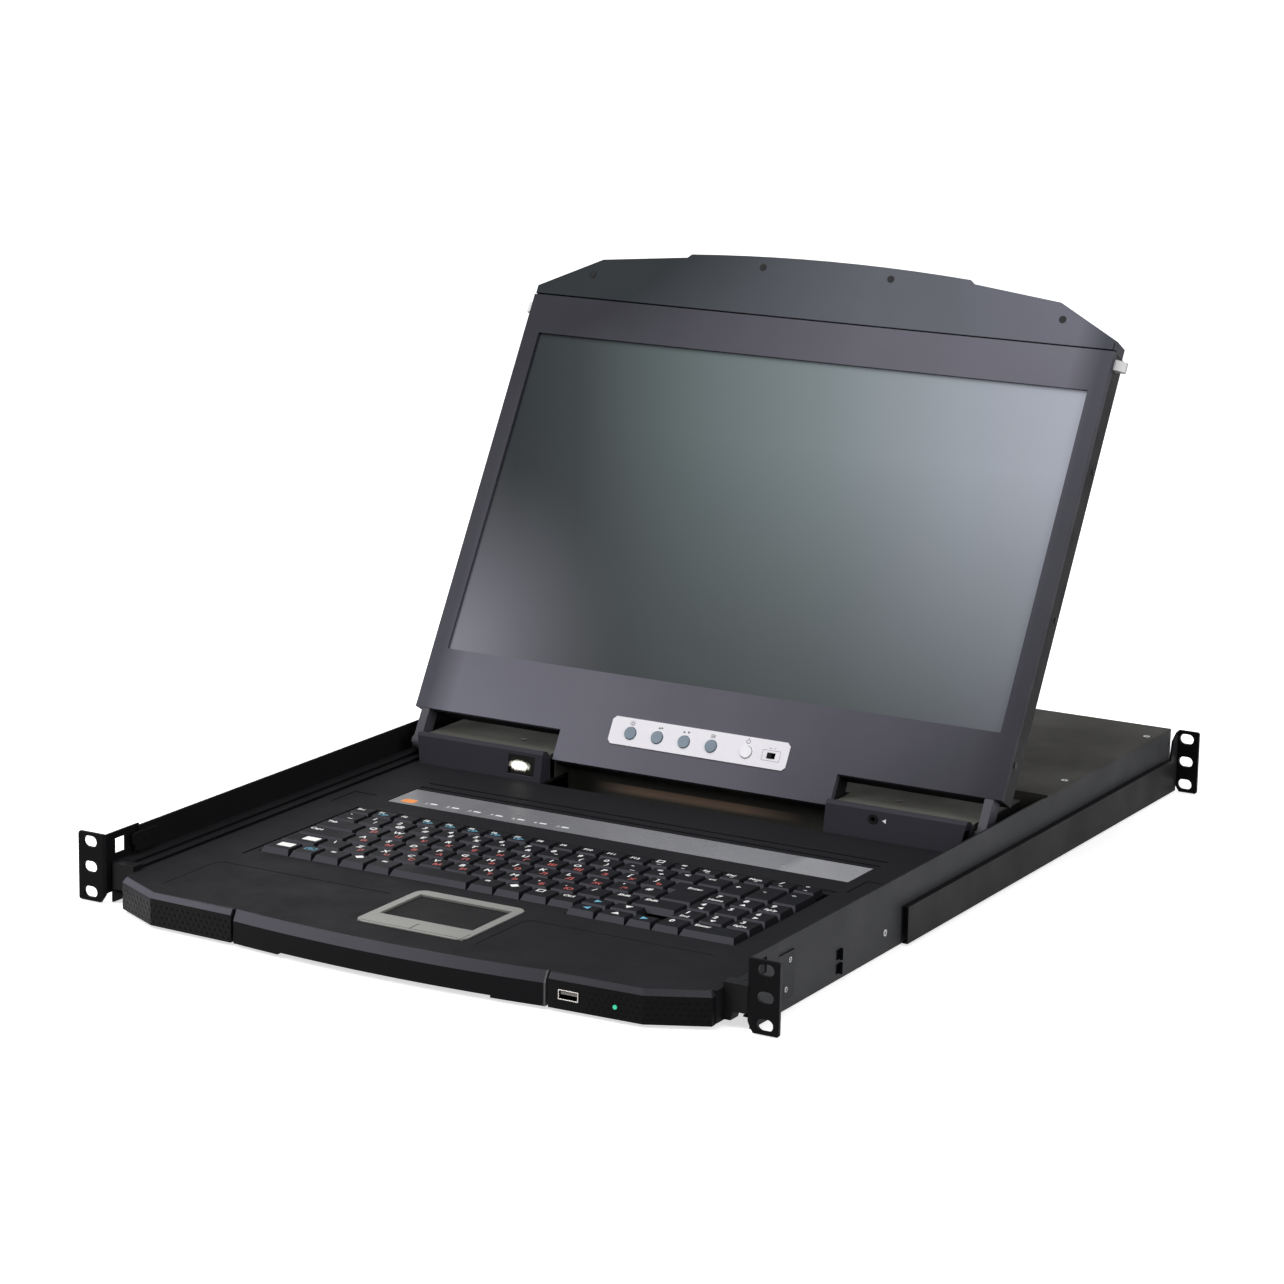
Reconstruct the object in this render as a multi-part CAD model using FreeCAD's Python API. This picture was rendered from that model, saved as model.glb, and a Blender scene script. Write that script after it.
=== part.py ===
import FreeCAD, Part
import math
import os

# Rackmount LCD console drawer. Millimetres; X right, Y to the back, Z up.
# The origin is the centre of the front rack holes, on the ears' mating face.

V = FreeCAD.Vector

# Rack standard: one unit high, three slots in each ear.
HOLE_SPAN = 465.1
HOLE_PITCH = 15.875
EAR_EDGE = 8.75
SLOT_LENGTH = 10.0
SLOT_WIDTH = 7.0
EAR_HEIGHT = 43.0
EAR_SHEET = 2.0
EAR_CORNER = 2.0
EAR_OUTER_CORNER = 1.0
EAR_BEND = 2.0
EAR_INSET = 12.95

# Screen, in its own axes: sizes across, and heights from the foot of the picture.
SCREEN_HEIGHT = 232.0
SCREEN_ABOVE_HINGE = 65.5
TOP_BORDER = 28.0
SIDE_BORDER = 11.8
LCD_SIDE_GAP = 2.1
LCD_TOP = SCREEN_HEIGHT + TOP_BORDER
LCD_BOTTOM = -43.0
TONGUE_BOTTOM = -64.0
TONGUE_HALF = 103.0
LCD_DEPTH = 17.4
BEZEL_DEPTH = 4.5
BEZEL_SHEET = 2.0
SHELL_WALL = 1.4
TILT = 29.46
CLOSED_FACE_Z = 4.0

# Upper handle above the screen.
WING_RISE = 7.0
WING_SHOULDER_X = 45.5
WING_SHOULDER = 30.2
CROWN_HALF = 105.0
CROWN_FOOT = 37.4
CROWN_STEP = 2.6
CROWN_BOW = 3.9
HANDLE_RIM = 2.0
HANDLE_FACE = 1.2
HANDLE_GROOVE = 1.2

# Latch: a window in each ear flange and a hook near the top of the screen.
LATCH_Y = 12.0
LATCH_Z = 13.3
WINDOW_FRONT = LATCH_Y - 4.0
WINDOW_BACK = LATCH_Y + 6.0
WINDOW_BOTTOM = LATCH_Z - 5.6
WINDOW_TOP = LATCH_Z + 3.9
HOOK_BELOW_TOP = 7.6
HOOK_LOW = 2.3
HOOK_DEPTH = 7.0
HOOK_HEIGHT = 6.0
HOOK_REACH = 7.0
HOOK_LENGTH = 13.0

# Hinge.
HINGE_Y = LATCH_Y + LCD_TOP - HOOK_BELOW_TOP + SCREEN_ABOVE_HINGE
HINGE_Z = 10.0
PIN_RADIUS = 3.0
PIN_CLEARANCE = 0.05
PIN_DEPTH = HINGE_Z - CLOSED_FACE_Z
BARREL_RADIUS = 5.4
BARREL_LENGTH = 50.0

# Chassis.
CHASSIS_HALF = HOLE_SPAN / 2 - EAR_INSET
CHASSIS_SHEET = 1.4
WALL_OUT = CHASSIS_HALF + CHASSIS_SHEET
CHASSIS_BOTTOM = -21.8
CHASSIS_TOP = 20.6
CHASSIS_FRONT = 4.0
FLOOR_TOP = CHASSIS_BOTTOM + CHASSIS_SHEET
COVER_SHEET = 1.2
COVER_TOP = CHASSIS_TOP + COVER_SHEET
FLANGE_SHEET = 1.2
FLANGE_OUT = WALL_OUT + FLANGE_SHEET
FLANGE_LENGTH = LATCH_Y + 20.0
FLANGE_TAB = 20.0
WALL_FRONT = FLANGE_LENGTH - 2.0
LANCE_Y = 110.5
LANCE_Z = [-6.5, -15.0]
LANCE_RADIUS = 3.6
LANCE_RISE = 2.2
LANCE_GAP = 4.4
STUD_HEIGHT = 5.0

# Drawer: a folded tray between the slides, with a moulded deck on it.
SLIDE_SPACE = 16.1
DRAWER_HALF = CHASSIS_HALF - SLIDE_SPACE
DRAWER_SHEET = 1.2
FLOOR_GAP = 1.0
TRAY_BOTTOM = FLOOR_TOP + FLOOR_GAP
TRAY_FLOOR = TRAY_BOTTOM + DRAWER_SHEET
DRAWER_FRONT = -5.0
DECK_SHEET = 1.6
TRAY_TOP = -DECK_SHEET
DECK_BACK = HINGE_Y + 15.1
TROUGH_FRONT = HINGE_Y - 15.9
TROUGH_BACK = HINGE_Y + 21.6
DRAWER_BACK = HINGE_Y + 66.1
TAIL_TOP = 17.0

# Electronics bay behind the drawer.
BAY_GAP = 4.0
BAY_DEPTH = 205.0
BAY_FRONT = DRAWER_BACK + BAY_GAP
CHASSIS_BACK = BAY_FRONT + BAY_DEPTH
RACK_GAP = 0.3
RACK_DEPTH = CHASSIS_BACK + RACK_GAP
BOARD_MARGIN = 22.0
BOARD_BACK_MARGIN = 37.0
BOARD_SHEET = 1.6
BOARD_LEFT = -CHASSIS_HALF + 21.6
BOARD_RIGHT = 28.0
SUPPLY_LEFT = 52.0
SUPPLY_RIGHT = CHASSIS_HALF - 11.6

# Rear rack brackets, which slide on the chassis sides to suit the rack's depth.
BRACKET_FRONT = 190.0
BRACKET_BOTTOM = -21.0
BRACKET_TOP = 2.0
BRACKET_GAP = 0.3
BRACKET_SHEET = 1.5
BRACKET_TURN_UP = 10.0
BRACKET_SHOULDER = 7.0
BRACKET_SHOULDER_Z = 15.0
GUIDE_HEIGHT = 3.2
GUIDE_WIDTH = 12.0
GUIDE_START = 130.0

# Telescopic slides: outer, middle and inner members.
SLIDE_FRONT = 12.0
SLIDE_LENGTH = DRAWER_BACK - SLIDE_FRONT
SLIDE_TOP = 3.5
SLIDE_BOTTOM = -18.5
SLIDE_SHEET = 1.2
SLIDE_GAP = 0.6
SLIDE_FLANGE = 8.2
SLIDE_BLOCK = 9.0
BLOCK_TOP = CLOSED_FACE_Z - SLIDE_GAP
BLOCK_STEP = -13.0

# Front handle: a bowed bar between two grips.
HANDLE_BOTTOM = -20.0
BAR_HALF = 107.0
GRIP_GROOVE = 2.0
BAR_FRONT = -28.8
BAR_BOW = 6.7
BAR_CHAMFER_Z = 6.3
BAR_CHAMFER_Y = 3.2
GRIP_CORNER_IN = 34.5
GRIP_CORNER_X = DRAWER_HALF - GRIP_CORNER_IN
GRIP_CORNER_Y = -26.5
GRIP_TIP_Y = -9.0
GRIP_CHAMFER = 3.2
GRIP_CHAMFER_Y = 2.0
GRIP_SIDE_GAP = 0.5
DECK_RIM = 1.0
CORE_FRONT = -20.0
CORE_HALF = GRIP_CORNER_X - 6.0
BAR_RELIEF_HALF = 73.0
BAR_RELIEF = 1.4
FIT_GAP = 0.3

# Keyboard: main block of 15 units, number pad of three columns.
KEY_UNIT = 18.7
ROW_EASE = 3.2
PAD_WIDTH = 55.6
KEYS_CENTRE = 1.35
KEYS_LEFT = KEYS_CENTRE - (15 * KEY_UNIT + ROW_EASE + PAD_WIDTH) / 2
PAD_LEFT = KEYS_LEFT + 15 * KEY_UNIT + ROW_EASE
KEYS_RIGHT = PAD_LEFT + PAD_WIDTH
FUNCTION_RIGHT = KEYS_RIGHT - 2.7
ROW_FRONT = 84.0
ROW_PITCH = 19.0
PAD_ROW_FRONT = ROW_FRONT - ROW_PITCH / 2
FUNCTION_DEPTH = 14.5
KEY_TOP = 2.6
KEY_HEIGHT = 3.8
KEY_GAP = 0.8
KEY_SIDE_TAPER = 1.5
KEY_FRONT_TAPER = 2.8
KEY_BACK_TAPER = 0.7
KEY_TRAVEL = 2.2
WELL_FRONT = PAD_ROW_FRONT - 1.9
WELL_BACK = ROW_FRONT + 5 * ROW_PITCH + FUNCTION_DEPTH + 7.3
WELL_LEFT = KEYS_LEFT - 5.0
WELL_RIGHT = KEYS_RIGHT + 2.3
BASE_TOP = -0.6
BASE_FLOOR = 1.0
BASE_RIM = 0.4

# Touchpad and its two buttons.
PAD_FRAME_HALF = 37.8
PAD_FRAME_BACK = WELL_FRONT - 6.6
PAD_FRAME_DEPTH = 72.0
PAD_FRAME_FRONT = PAD_FRAME_BACK - PAD_FRAME_DEPTH
PAD_HALF = PAD_FRAME_HALF - 5.6
PAD_FRONT = PAD_FRAME_FRONT + 19.2
PAD_BACK = PAD_FRAME_BACK - 8.3
PAD_FRAME_RISE = 0.7
PAD_FRAME_CORNER = 7.0
PAD_TUB_WALL = 1.5
PAD_BUTTON_DEPTH = 10.2

# Status strip across the deck, with two grooves behind it.
STRIP_LEFT = KEYS_LEFT + 3.0
STRIP_RIGHT = KEYS_RIGHT - 2.0
STRIP_FRONT = WELL_BACK + 21.7
STRIP_DEPTH = 35.0
STRIP_BACK = STRIP_FRONT + STRIP_DEPTH
STRIP_SHEET = 1.2
STRIP_SINK = 0.3
STRIP_TRAY = 1.8

# Widths that follow the chassis and the drawer.
LCD_HALF = CHASSIS_HALF - LCD_SIDE_GAP
SCREEN_WIDTH = 2 * (LCD_HALF - SIDE_BORDER)
ARM_INNER = DRAWER_HALF + 2.8
ARM_WIDTH = 6.0
ARM_RADIUS = 5.6
ARM_TOP = -6.0
BRACKET_INNER = DRAWER_HALF - DRAWER_SHEET - 2.3 - BARREL_LENGTH

# Hinge covers beside the screen's tongue.
COVER_INNER = TONGUE_HALF + 2.0
COVER_OUTER = DRAWER_HALF
COVER_FRONT = HINGE_Y - 16.4
COVER_BACK = HINGE_Y - 3.9
RIDGE_Y = COVER_FRONT + 4.1
RIDGE_Z = 20.5
COVER_CUT = 4.0
LAMP_INNER = COVER_INNER + 5.5
LAMP_WIDTH = 20.5
LAMP_BOTTOM = 3.2
LAMP_TOP = 16.2
JACK_X = COVER_INNER + 34.2
JACK_Z = 13.0
JACK_RADIUS = 3.4

# Control plate under the screen.
PLATE_HALF = 66.0
PLATE_BOTTOM = -47.0
PLATE_TOP = -28.0
PLATE_SHEET = 0.6
PLATE_CORNER = 2.4
BUTTON_U = -38.3
BUTTON_RADIUS = 4.2
BUTTON_FIRST = -50.6
BUTTON_PITCH = 20.1
POWER_X = 35.6
SWITCH_X = 52.7
SWITCH_TRAVEL = 2.4
BUTTON_RISE = 0.8
CONTROL_BOARD_DEPTH = 9.2

# Sockets.
INLET_X = CHASSIS_HALF - 34.6
INLET_WIDTH = 27.0
INLET_HEIGHT = 20.0
ROCKER_X = INLET_X - 30.0
ROCKER_WIDTH = 13.0
ROCKER_HEIGHT = 19.0
PORT_Z = -4.0
VGA_X = [-CHASSIS_HALF + 39.6, -CHASSIS_HALF + 84.6]
VGA_WIDTH = 25.4
VGA_HEIGHT = 12.0
USB_X = [-CHASSIS_HALF + 124.6, -CHASSIS_HALF + 149.6]
USB_WIDTH = 13.1
USB_HEIGHT = 5.8
FRONT_USB_X = BAR_HALF + 15.0
FRONT_USB_Z = -11.2
LED_X = FRONT_USB_X + 29.5
LED_Z = -12.8
LED_RADIUS = 1.3


# ---- shape helpers ----

def box(x0, x1, y0, y1, z0, z1):
    return Part.makeBox(x1 - x0, y1 - y0, z1 - z0, V(x0, y0, z0))


def round_box(x0, x1, y0, y1, z0, z1, radius):
    solid = box(x0, x1, y0, y1, z0, z1)
    upright = [e for e in solid.Edges if abs(e.tangentAt(e.FirstParameter).z) > 0.9]
    return solid.makeFillet(radius, upright)


def cut_corner_box(x0, x1, y0, y1, z0, z1, corner):
    c = corner
    outline = [(x0 + c, y0), (x1 - c, y0), (x1, y0 + c), (x1, y1 - c),
               (x1 - c, y1), (x0 + c, y1), (x0, y1 - c), (x0, y0 + c)]
    return prism(outline, z0, z1)


def cylinder(radius, start, direction, length):
    return Part.makeCylinder(radius, length, V(*start), V(*direction))


def drum(radius, start, direction, length, sides=8):
    """A regular prism, for posts, rivets and screw heads."""
    turn = FreeCAD.Rotation(V(0, 0, 1), V(*direction))
    angles = [2 * math.pi * (i + 0.5) / sides for i in range(sides)]
    ring = [V(*start) + turn.multVec(V(radius * math.cos(a), radius * math.sin(a), 0)) for a in angles]
    return Part.Face(wire(ring)).extrude(V(*direction) * length)


def wire(points):
    corners = [V(*p) for p in points]
    return Part.makePolygon(corners + [corners[0]])


def prism(points, z0, z1):
    face = Part.Face(wire([(x, y, z0) for x, y in points]))
    return face.extrude(V(0, 0, z1 - z0))


def side_prism(points, x0, x1):
    face = Part.Face(wire([(x0, y, z) for y, z in points]))
    return face.extrude(V(x1 - x0, 0, 0))


def front_prism(points, y0, y1):
    face = Part.Face(wire([(x, y0, z) for x, z in points]))
    return face.extrude(V(0, y1 - y0, 0))


def frustum(lower, upper, z0, z1):
    low = wire([(x, y, z0) for x, y in lower])
    high = wire([(x, y, z1) for x, y in upper])
    return Part.makeLoft([low, high], True, True)


def wedge(lower, upper, z0, z1):
    """A block with a smaller rectangle on top: (x0, x1, y0, y1) below and above."""
    block = Part.makeWedge(lower[0], z0, -lower[3], -upper[3], upper[0],
                           lower[1], z1, -lower[2], -upper[2], upper[1])
    block.rotate(V(0, 0, 0), V(1, 0, 0), 90)
    return block


def mirrored(solid):
    return solid.mirror(V(0, 0, 0), V(1, 0, 0))


def pair(solid):
    return [solid, mirrored(solid)]


def fused(solids):
    return solids[0].multiFuse(solids[1:]).removeSplitter()


def screw(start, direction, radius=2.6, height=0.8):
    return drum(radius, start, direction, height)


def on_screen(solid):
    """Carries a solid from the screen's own axes (right, up, out) to the open pose."""
    tilt = FreeCAD.Rotation(V(1, 0, 0), 90.0 - TILT)
    origin = V(0, HINGE_Y, HINGE_Z) + tilt.multVec(V(0, SCREEN_ABOVE_HINGE, PIN_DEPTH))
    placed = solid.copy()
    placed.Placement = FreeCAD.Placement(origin, tilt).multiply(placed.Placement)
    return placed


def save(name, *solids):
    if len(solids) == 1:
        solids[0].exportStep("parts/" + name + ".step")
    else:
        Part.makeCompound(list(solids)).exportStep("parts/" + name + ".step")


# ---- chassis ----

def rack_slots(y0, y1):
    slots = []
    reach = (SLOT_LENGTH - SLOT_WIDTH) / 2
    for row in (-1, 0, 1):
        z = row * HOLE_PITCH
        x = HOLE_SPAN / 2
        middle = box(x - reach, x + reach, y0, y1, z - SLOT_WIDTH / 2, z + SLOT_WIDTH / 2)
        ends = [cylinder(SLOT_WIDTH / 2, (x + s * reach, y0, z), (0, 1, 0), y1 - y0) for s in (-1, 1)]
        slots.append(fused([middle] + ends))
    return slots


def ear_plate(x_inner, y0, y1):
    half = EAR_HEIGHT / 2
    x_outer = HOLE_SPAN / 2 + EAR_EDGE
    c = EAR_CORNER
    d = EAR_OUTER_CORNER
    outline = [(x_inner + 2 * c, -half), (x_outer - d, -half), (x_outer, -half + d),
               (x_outer, half - d), (x_outer - d, half), (x_inner + c, half),
               (x_inner, half - c), (x_inner, -half + 3 * c)]
    return front_prism(outline, y0, y1).cut(Part.makeCompound(rack_slots(y0 - 1, y1 + 1)))


def front_ears():
    half = EAR_HEIGHT / 2
    plate = ear_plate(WALL_OUT, -EAR_SHEET, 0.0)
    back = FLANGE_LENGTH + FLANGE_TAB
    profile = [(-EAR_SHEET, -half + 3 * EAR_CORNER), (back, -half + 3 * EAR_CORNER), (back, half - 9),
               (FLANGE_LENGTH, half - 9), (FLANGE_LENGTH, half), (-EAR_SHEET, half)]
    ear = fused([plate, side_prism(profile, WALL_OUT, FLANGE_OUT)])
    window = box(WALL_OUT - 1, FLANGE_OUT + 1, WINDOW_FRONT, WINDOW_BACK, WINDOW_BOTTOM, WINDOW_TOP)
    fold = prism([(WALL_OUT - 1, -EAR_SHEET - 1), (WALL_OUT + EAR_BEND, -EAR_SHEET - 1),
                  (WALL_OUT + EAR_BEND, -EAR_SHEET), (WALL_OUT, -EAR_SHEET + EAR_BEND / 2),
                  (WALL_OUT - 1, -EAR_SHEET + EAR_BEND / 2)], -half - 1, half + 1)
    return pair(ear.cut(window).cut(fold))


def chassis_pan():
    floor = box(-WALL_OUT, WALL_OUT, WALL_FRONT, CHASSIS_BACK, CHASSIS_BOTTOM, FLOOR_TOP)
    wall = box(CHASSIS_HALF, WALL_OUT, WALL_FRONT, CHASSIS_BACK, CHASSIS_BOTTOM, CHASSIS_TOP)
    middle = (BRACKET_BOTTOM + BRACKET_TOP) / 2
    guide = box(WALL_OUT, WALL_OUT + GUIDE_HEIGHT, BRACKET_FRONT + GUIDE_START, CHASSIS_BACK - GUIDE_WIDTH,
                middle - GUIDE_WIDTH / 2, middle + GUIDE_WIDTH / 2)
    studs = [drum(3.0, (x, y, FLOOR_TOP), (0, 0, 1), STUD_HEIGHT) for x, y in board_studs()]
    lances = []
    gaps = []
    for z in LANCE_Z:
        lances.append(lance(z))
        gaps.append(box(CHASSIS_HALF - 1, WALL_OUT + 1, LANCE_Y - LANCE_GAP, LANCE_Y,
                        z - LANCE_RADIUS + 0.6, z + LANCE_RADIUS - 0.6))
    side = fused([wall, guide] + lances).cut(Part.makeCompound(gaps))
    return fused([floor] + pair(side) + studs)


def lance(z):
    """A half-round tongue pushed out of the side wall, open towards the front."""
    angles = [math.pi * i / 8 for i in range(9)]
    rim = [(LANCE_Y + LANCE_RADIUS * math.sin(a), z + LANCE_RADIUS * math.cos(a)) for a in angles]
    return side_prism(rim, WALL_OUT, WALL_OUT + LANCE_RISE)


def board_studs():
    ys = (BAY_FRONT + BOARD_MARGIN + 8, CHASSIS_BACK - BOARD_BACK_MARGIN - 8)
    xs = (BOARD_LEFT + 8, BOARD_RIGHT - 8, SUPPLY_LEFT + 8, SUPPLY_RIGHT - 8)
    return [(x, y) for x in xs for y in ys]


def latch_catches():
    inner = CHASSIS_HALF - 1.5
    front = LATCH_Y + 12.0
    plate = box(inner, CHASSIS_HALF, front, front + 22.0, LATCH_Z - 7.3, LATCH_Z + 3.7)
    tab = box(inner, CHASSIS_HALF, front - 2.0, front, LATCH_Z - 3, LATCH_Z + 3)
    rivet = drum(2.2, (inner - 0.6, front + 12.0, LATCH_Z - 1.3), (1, 0, 0), 1.0)
    return pair(fused([plate, tab, rivet]))


def rear_cover():
    top = box(-WALL_OUT, WALL_OUT, BAY_FRONT, CHASSIS_BACK, CHASSIS_TOP, COVER_TOP)
    bulkhead = box(-CHASSIS_HALF + FIT_GAP, CHASSIS_HALF - FIT_GAP, BAY_FRONT, BAY_FRONT + COVER_SHEET,
                   FLOOR_TOP, CHASSIS_TOP)
    vents = [box(x, x + 3, BAY_FRONT + 60, BAY_FRONT + 100, CHASSIS_TOP - 1, COVER_TOP + 1)
             for x in range(-150, -90, 8)]
    return fused([top, bulkhead]).cut(Part.makeCompound(vents))


def port_cutter(x, width, height):
    y0 = CHASSIS_BACK - CHASSIS_SHEET - 1
    return box(x - width / 2, x + width / 2, y0, CHASSIS_BACK + 1, PORT_Z - height / 2, PORT_Z + height / 2)


def rear_panel():
    panel = box(-CHASSIS_HALF, CHASSIS_HALF, CHASSIS_BACK - CHASSIS_SHEET, CHASSIS_BACK,
                FLOOR_TOP, CHASSIS_TOP)
    cutters = [port_cutter(x, VGA_WIDTH, VGA_HEIGHT) for x in VGA_X]
    cutters += [port_cutter(x, USB_WIDTH, USB_HEIGHT) for x in USB_X]
    cutters.append(port_cutter(INLET_X, INLET_WIDTH, INLET_HEIGHT))
    cutters.append(port_cutter(ROCKER_X, ROCKER_WIDTH + 2, ROCKER_HEIGHT + 2))
    cutters += [port_cutter(ROCKER_X - 35.0 - 8.0 * i, 3.0, 24.0) for i in range(10)]
    return panel.cut(Part.makeCompound(cutters))


def slide_outer():
    """The fixed member, with the plate at its front end that carries the ear."""
    back = SLIDE_FRONT + SLIDE_LENGTH
    web = box(CHASSIS_HALF - SLIDE_SHEET, CHASSIS_HALF, SLIDE_FRONT, back, SLIDE_BOTTOM, SLIDE_TOP)
    reach = CHASSIS_HALF - SLIDE_FLANGE
    top = box(reach, CHASSIS_HALF, SLIDE_FRONT, back, SLIDE_TOP - SLIDE_SHEET, SLIDE_TOP)
    bottom = box(reach, CHASSIS_HALF, SLIDE_FRONT, back, SLIDE_BOTTOM, SLIDE_BOTTOM + SLIDE_SHEET)
    plate = box(CHASSIS_HALF, WALL_OUT, CHASSIS_FRONT, WALL_FRONT, CHASSIS_BOTTOM, SLIDE_TOP)
    return pair(fused([web, top, bottom, plate]))


def slide_middle():
    back = SLIDE_FRONT + SLIDE_LENGTH
    centre = (DRAWER_HALF + CHASSIS_HALF) / 2
    high = SLIDE_TOP - SLIDE_SHEET - SLIDE_GAP
    low = SLIDE_BOTTOM + SLIDE_SHEET + SLIDE_GAP
    inner = DRAWER_HALF + SLIDE_SHEET + SLIDE_GAP
    outer = CHASSIS_HALF - SLIDE_SHEET - SLIDE_GAP
    web = box(centre - SLIDE_SHEET / 2, centre + SLIDE_SHEET / 2, SLIDE_FRONT, back, low, high)
    top = box(inner, outer, SLIDE_FRONT, back, high - SLIDE_SHEET, high)
    bottom = box(inner, outer, SLIDE_FRONT, back, low, low + SLIDE_SHEET)
    return pair(fused([web, top, bottom]))


def slide_inner():
    back = SLIDE_FRONT + SLIDE_LENGTH
    centre = (DRAWER_HALF + CHASSIS_HALF) / 2
    high = SLIDE_TOP - 2 * (SLIDE_SHEET + SLIDE_GAP)
    low = SLIDE_BOTTOM + 2 * (SLIDE_SHEET + SLIDE_GAP)
    reach = centre - SLIDE_SHEET / 2 - SLIDE_GAP
    web = box(DRAWER_HALF, DRAWER_HALF + SLIDE_SHEET, SLIDE_FRONT, back, low, high)
    top = box(DRAWER_HALF, reach, SLIDE_FRONT, back, high - SLIDE_SHEET, high)
    bottom = box(DRAWER_HALF, reach, SLIDE_FRONT, back, low, low + SLIDE_SHEET)
    y1 = SLIDE_FRONT - SLIDE_GAP
    outer = CHASSIS_HALF - SLIDE_GAP
    face = [(DRAWER_HALF, SLIDE_BOTTOM), (DRAWER_HALF + 5, SLIDE_BOTTOM), (DRAWER_HALF + 6.5, BLOCK_STEP),
            (outer, BLOCK_STEP), (outer, BLOCK_TOP), (DRAWER_HALF, BLOCK_TOP)]
    block = front_prism(face, y1 - SLIDE_BLOCK, y1)
    neck = box(DRAWER_HALF, DRAWER_HALF + SLIDE_SHEET, y1 - 1, SLIDE_FRONT, low, high)
    return pair(fused([web, top, bottom, block, neck]))


def circuit_board(x0, x1, parts):
    """A board on its studs; each part is (from left, from front, width, depth, height)."""
    y0 = BAY_FRONT + BOARD_MARGIN
    z0 = FLOOR_TOP + STUD_HEIGHT
    top = z0 + BOARD_SHEET
    board = box(x0, x1, y0, CHASSIS_BACK - BOARD_BACK_MARGIN, z0, top)
    blocks = [box(x0 + x, x0 + x + w, y0 + y, y0 + y + d, top, top + h) for x, y, w, d, h in parts]
    return fused([board] + blocks)


def main_board():
    parts = [(48, 28, 34, 34, 4), (108, 33, 24, 24, 3), (148, 18, 20, 50, 8), (38, 88, 60, 12, 6)]
    return circuit_board(BOARD_LEFT, BOARD_RIGHT, parts)


def power_supply():
    parts = [(23, 28, 40, 36, 24), (73, 23, 18, 60, 22), (103, 28, 26, 26, 26), (28, 88, 90, 20, 18)]
    return circuit_board(SUPPLY_LEFT, SUPPLY_RIGHT, parts)


def open_port(x, width, height, wall, depth):
    y0 = CHASSIS_BACK - depth
    shell = box(x - width / 2, x + width / 2, y0, CHASSIS_BACK, PORT_Z - height / 2, PORT_Z + height / 2)
    mouth = box(x - width / 2 + wall, x + width / 2 - wall, y0 + 3, CHASSIS_BACK + 1,
                PORT_Z - height / 2 + wall, PORT_Z + height / 2 - wall)
    return shell.cut(mouth)


def rear_connectors():
    ports = []
    for x in VGA_X:
        shell = open_port(x, VGA_WIDTH, VGA_HEIGHT, 2.0, 12.0)
        reach = VGA_WIDTH / 2 + 4.0
        nuts = [drum(2.6, (x + s * reach, CHASSIS_BACK, PORT_Z), (0, 1, 0), 4.0, 6) for s in (-1, 1)]
        ports += [shell] + nuts
    ports += [open_port(x, USB_WIDTH, USB_HEIGHT, 0.5, 14.0) for x in USB_X]
    return ports


def power_inlet():
    body = open_port(INLET_X, INLET_WIDTH, INLET_HEIGHT, 1.6, 20.0)
    wide, high = INLET_WIDTH / 2, INLET_HEIGHT / 2
    rim = box(INLET_X - wide - 1.5, INLET_X + wide + 1.5, CHASSIS_BACK, CHASSIS_BACK + 2,
              PORT_Z - high - 1.5, PORT_Z + high + 1.5)
    mouth = box(INLET_X - wide + 1.6, INLET_X + wide - 1.6, CHASSIS_BACK - 17, CHASSIS_BACK + 3,
                PORT_Z - high + 1.6, PORT_Z + high - 1.6)
    pins = [box(INLET_X + dx - 1, INLET_X + dx + 1, CHASSIS_BACK - 18, CHASSIS_BACK - 4,
                PORT_Z + dz - 2, PORT_Z + dz + 2) for dx, dz in ((-7, -2), (0, 2), (7, -2))]
    return fused([fused([body, rim]).cut(mouth)] + pins)


def power_rocker():
    half = ROCKER_HEIGHT / 2
    y = CHASSIS_BACK
    profile = [(y - 6, PORT_Z - half), (y + 3.0, PORT_Z - half), (y + 1.0, PORT_Z),
               (y + 0.4, PORT_Z + half), (y - 6, PORT_Z + half)]
    return side_prism(profile, ROCKER_X - ROCKER_WIDTH / 2, ROCKER_X + ROCKER_WIDTH / 2)


def rear_bracket():
    web_in = WALL_OUT + GUIDE_HEIGHT + BRACKET_GAP
    web_out = web_in + BRACKET_SHEET
    half = EAR_HEIGHT / 2
    profile = [(BRACKET_FRONT, BRACKET_BOTTOM), (RACK_DEPTH, BRACKET_BOTTOM),
               (RACK_DEPTH, half - EAR_CORNER), (RACK_DEPTH - BRACKET_SHOULDER, BRACKET_SHOULDER_Z),
               (RACK_DEPTH - BRACKET_TURN_UP, BRACKET_TOP), (BRACKET_FRONT, BRACKET_TOP)]
    web = side_prism(profile, web_in, web_out)
    lip_in = FLANGE_OUT + BRACKET_GAP
    lips = [box(lip_in, web_out, BRACKET_FRONT, RACK_DEPTH, z, z + BRACKET_SHEET)
            for z in (BRACKET_BOTTOM, BRACKET_TOP - BRACKET_SHEET)]
    return fused([web] + lips + [ear_plate(web_in, RACK_DEPTH, RACK_DEPTH + EAR_SHEET)])


def chassis_screws():
    x = CHASSIS_HALF - 4.1
    heads = [screw((side * x, y, COVER_TOP), (0, 0, 1), 2.4, 0.4)
             for side in (-1, 1) for y in (BAY_FRONT + 38.6, CHASSIS_BACK - 30.0)]
    for y, z in ((FLANGE_LENGTH + 9.5, -8.8), (FLANGE_LENGTH + 14.0, 7.6)):
        heads += pair(screw((FLANGE_OUT, y, z), (1, 0, 0), 1.7, 0.4))
    heads += pair(screw((WALL_OUT, BRACKET_FRONT - 21.0, -9.2), (1, 0, 0), 2.2, 0.4))
    return heads


# ---- drawer ----

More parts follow.
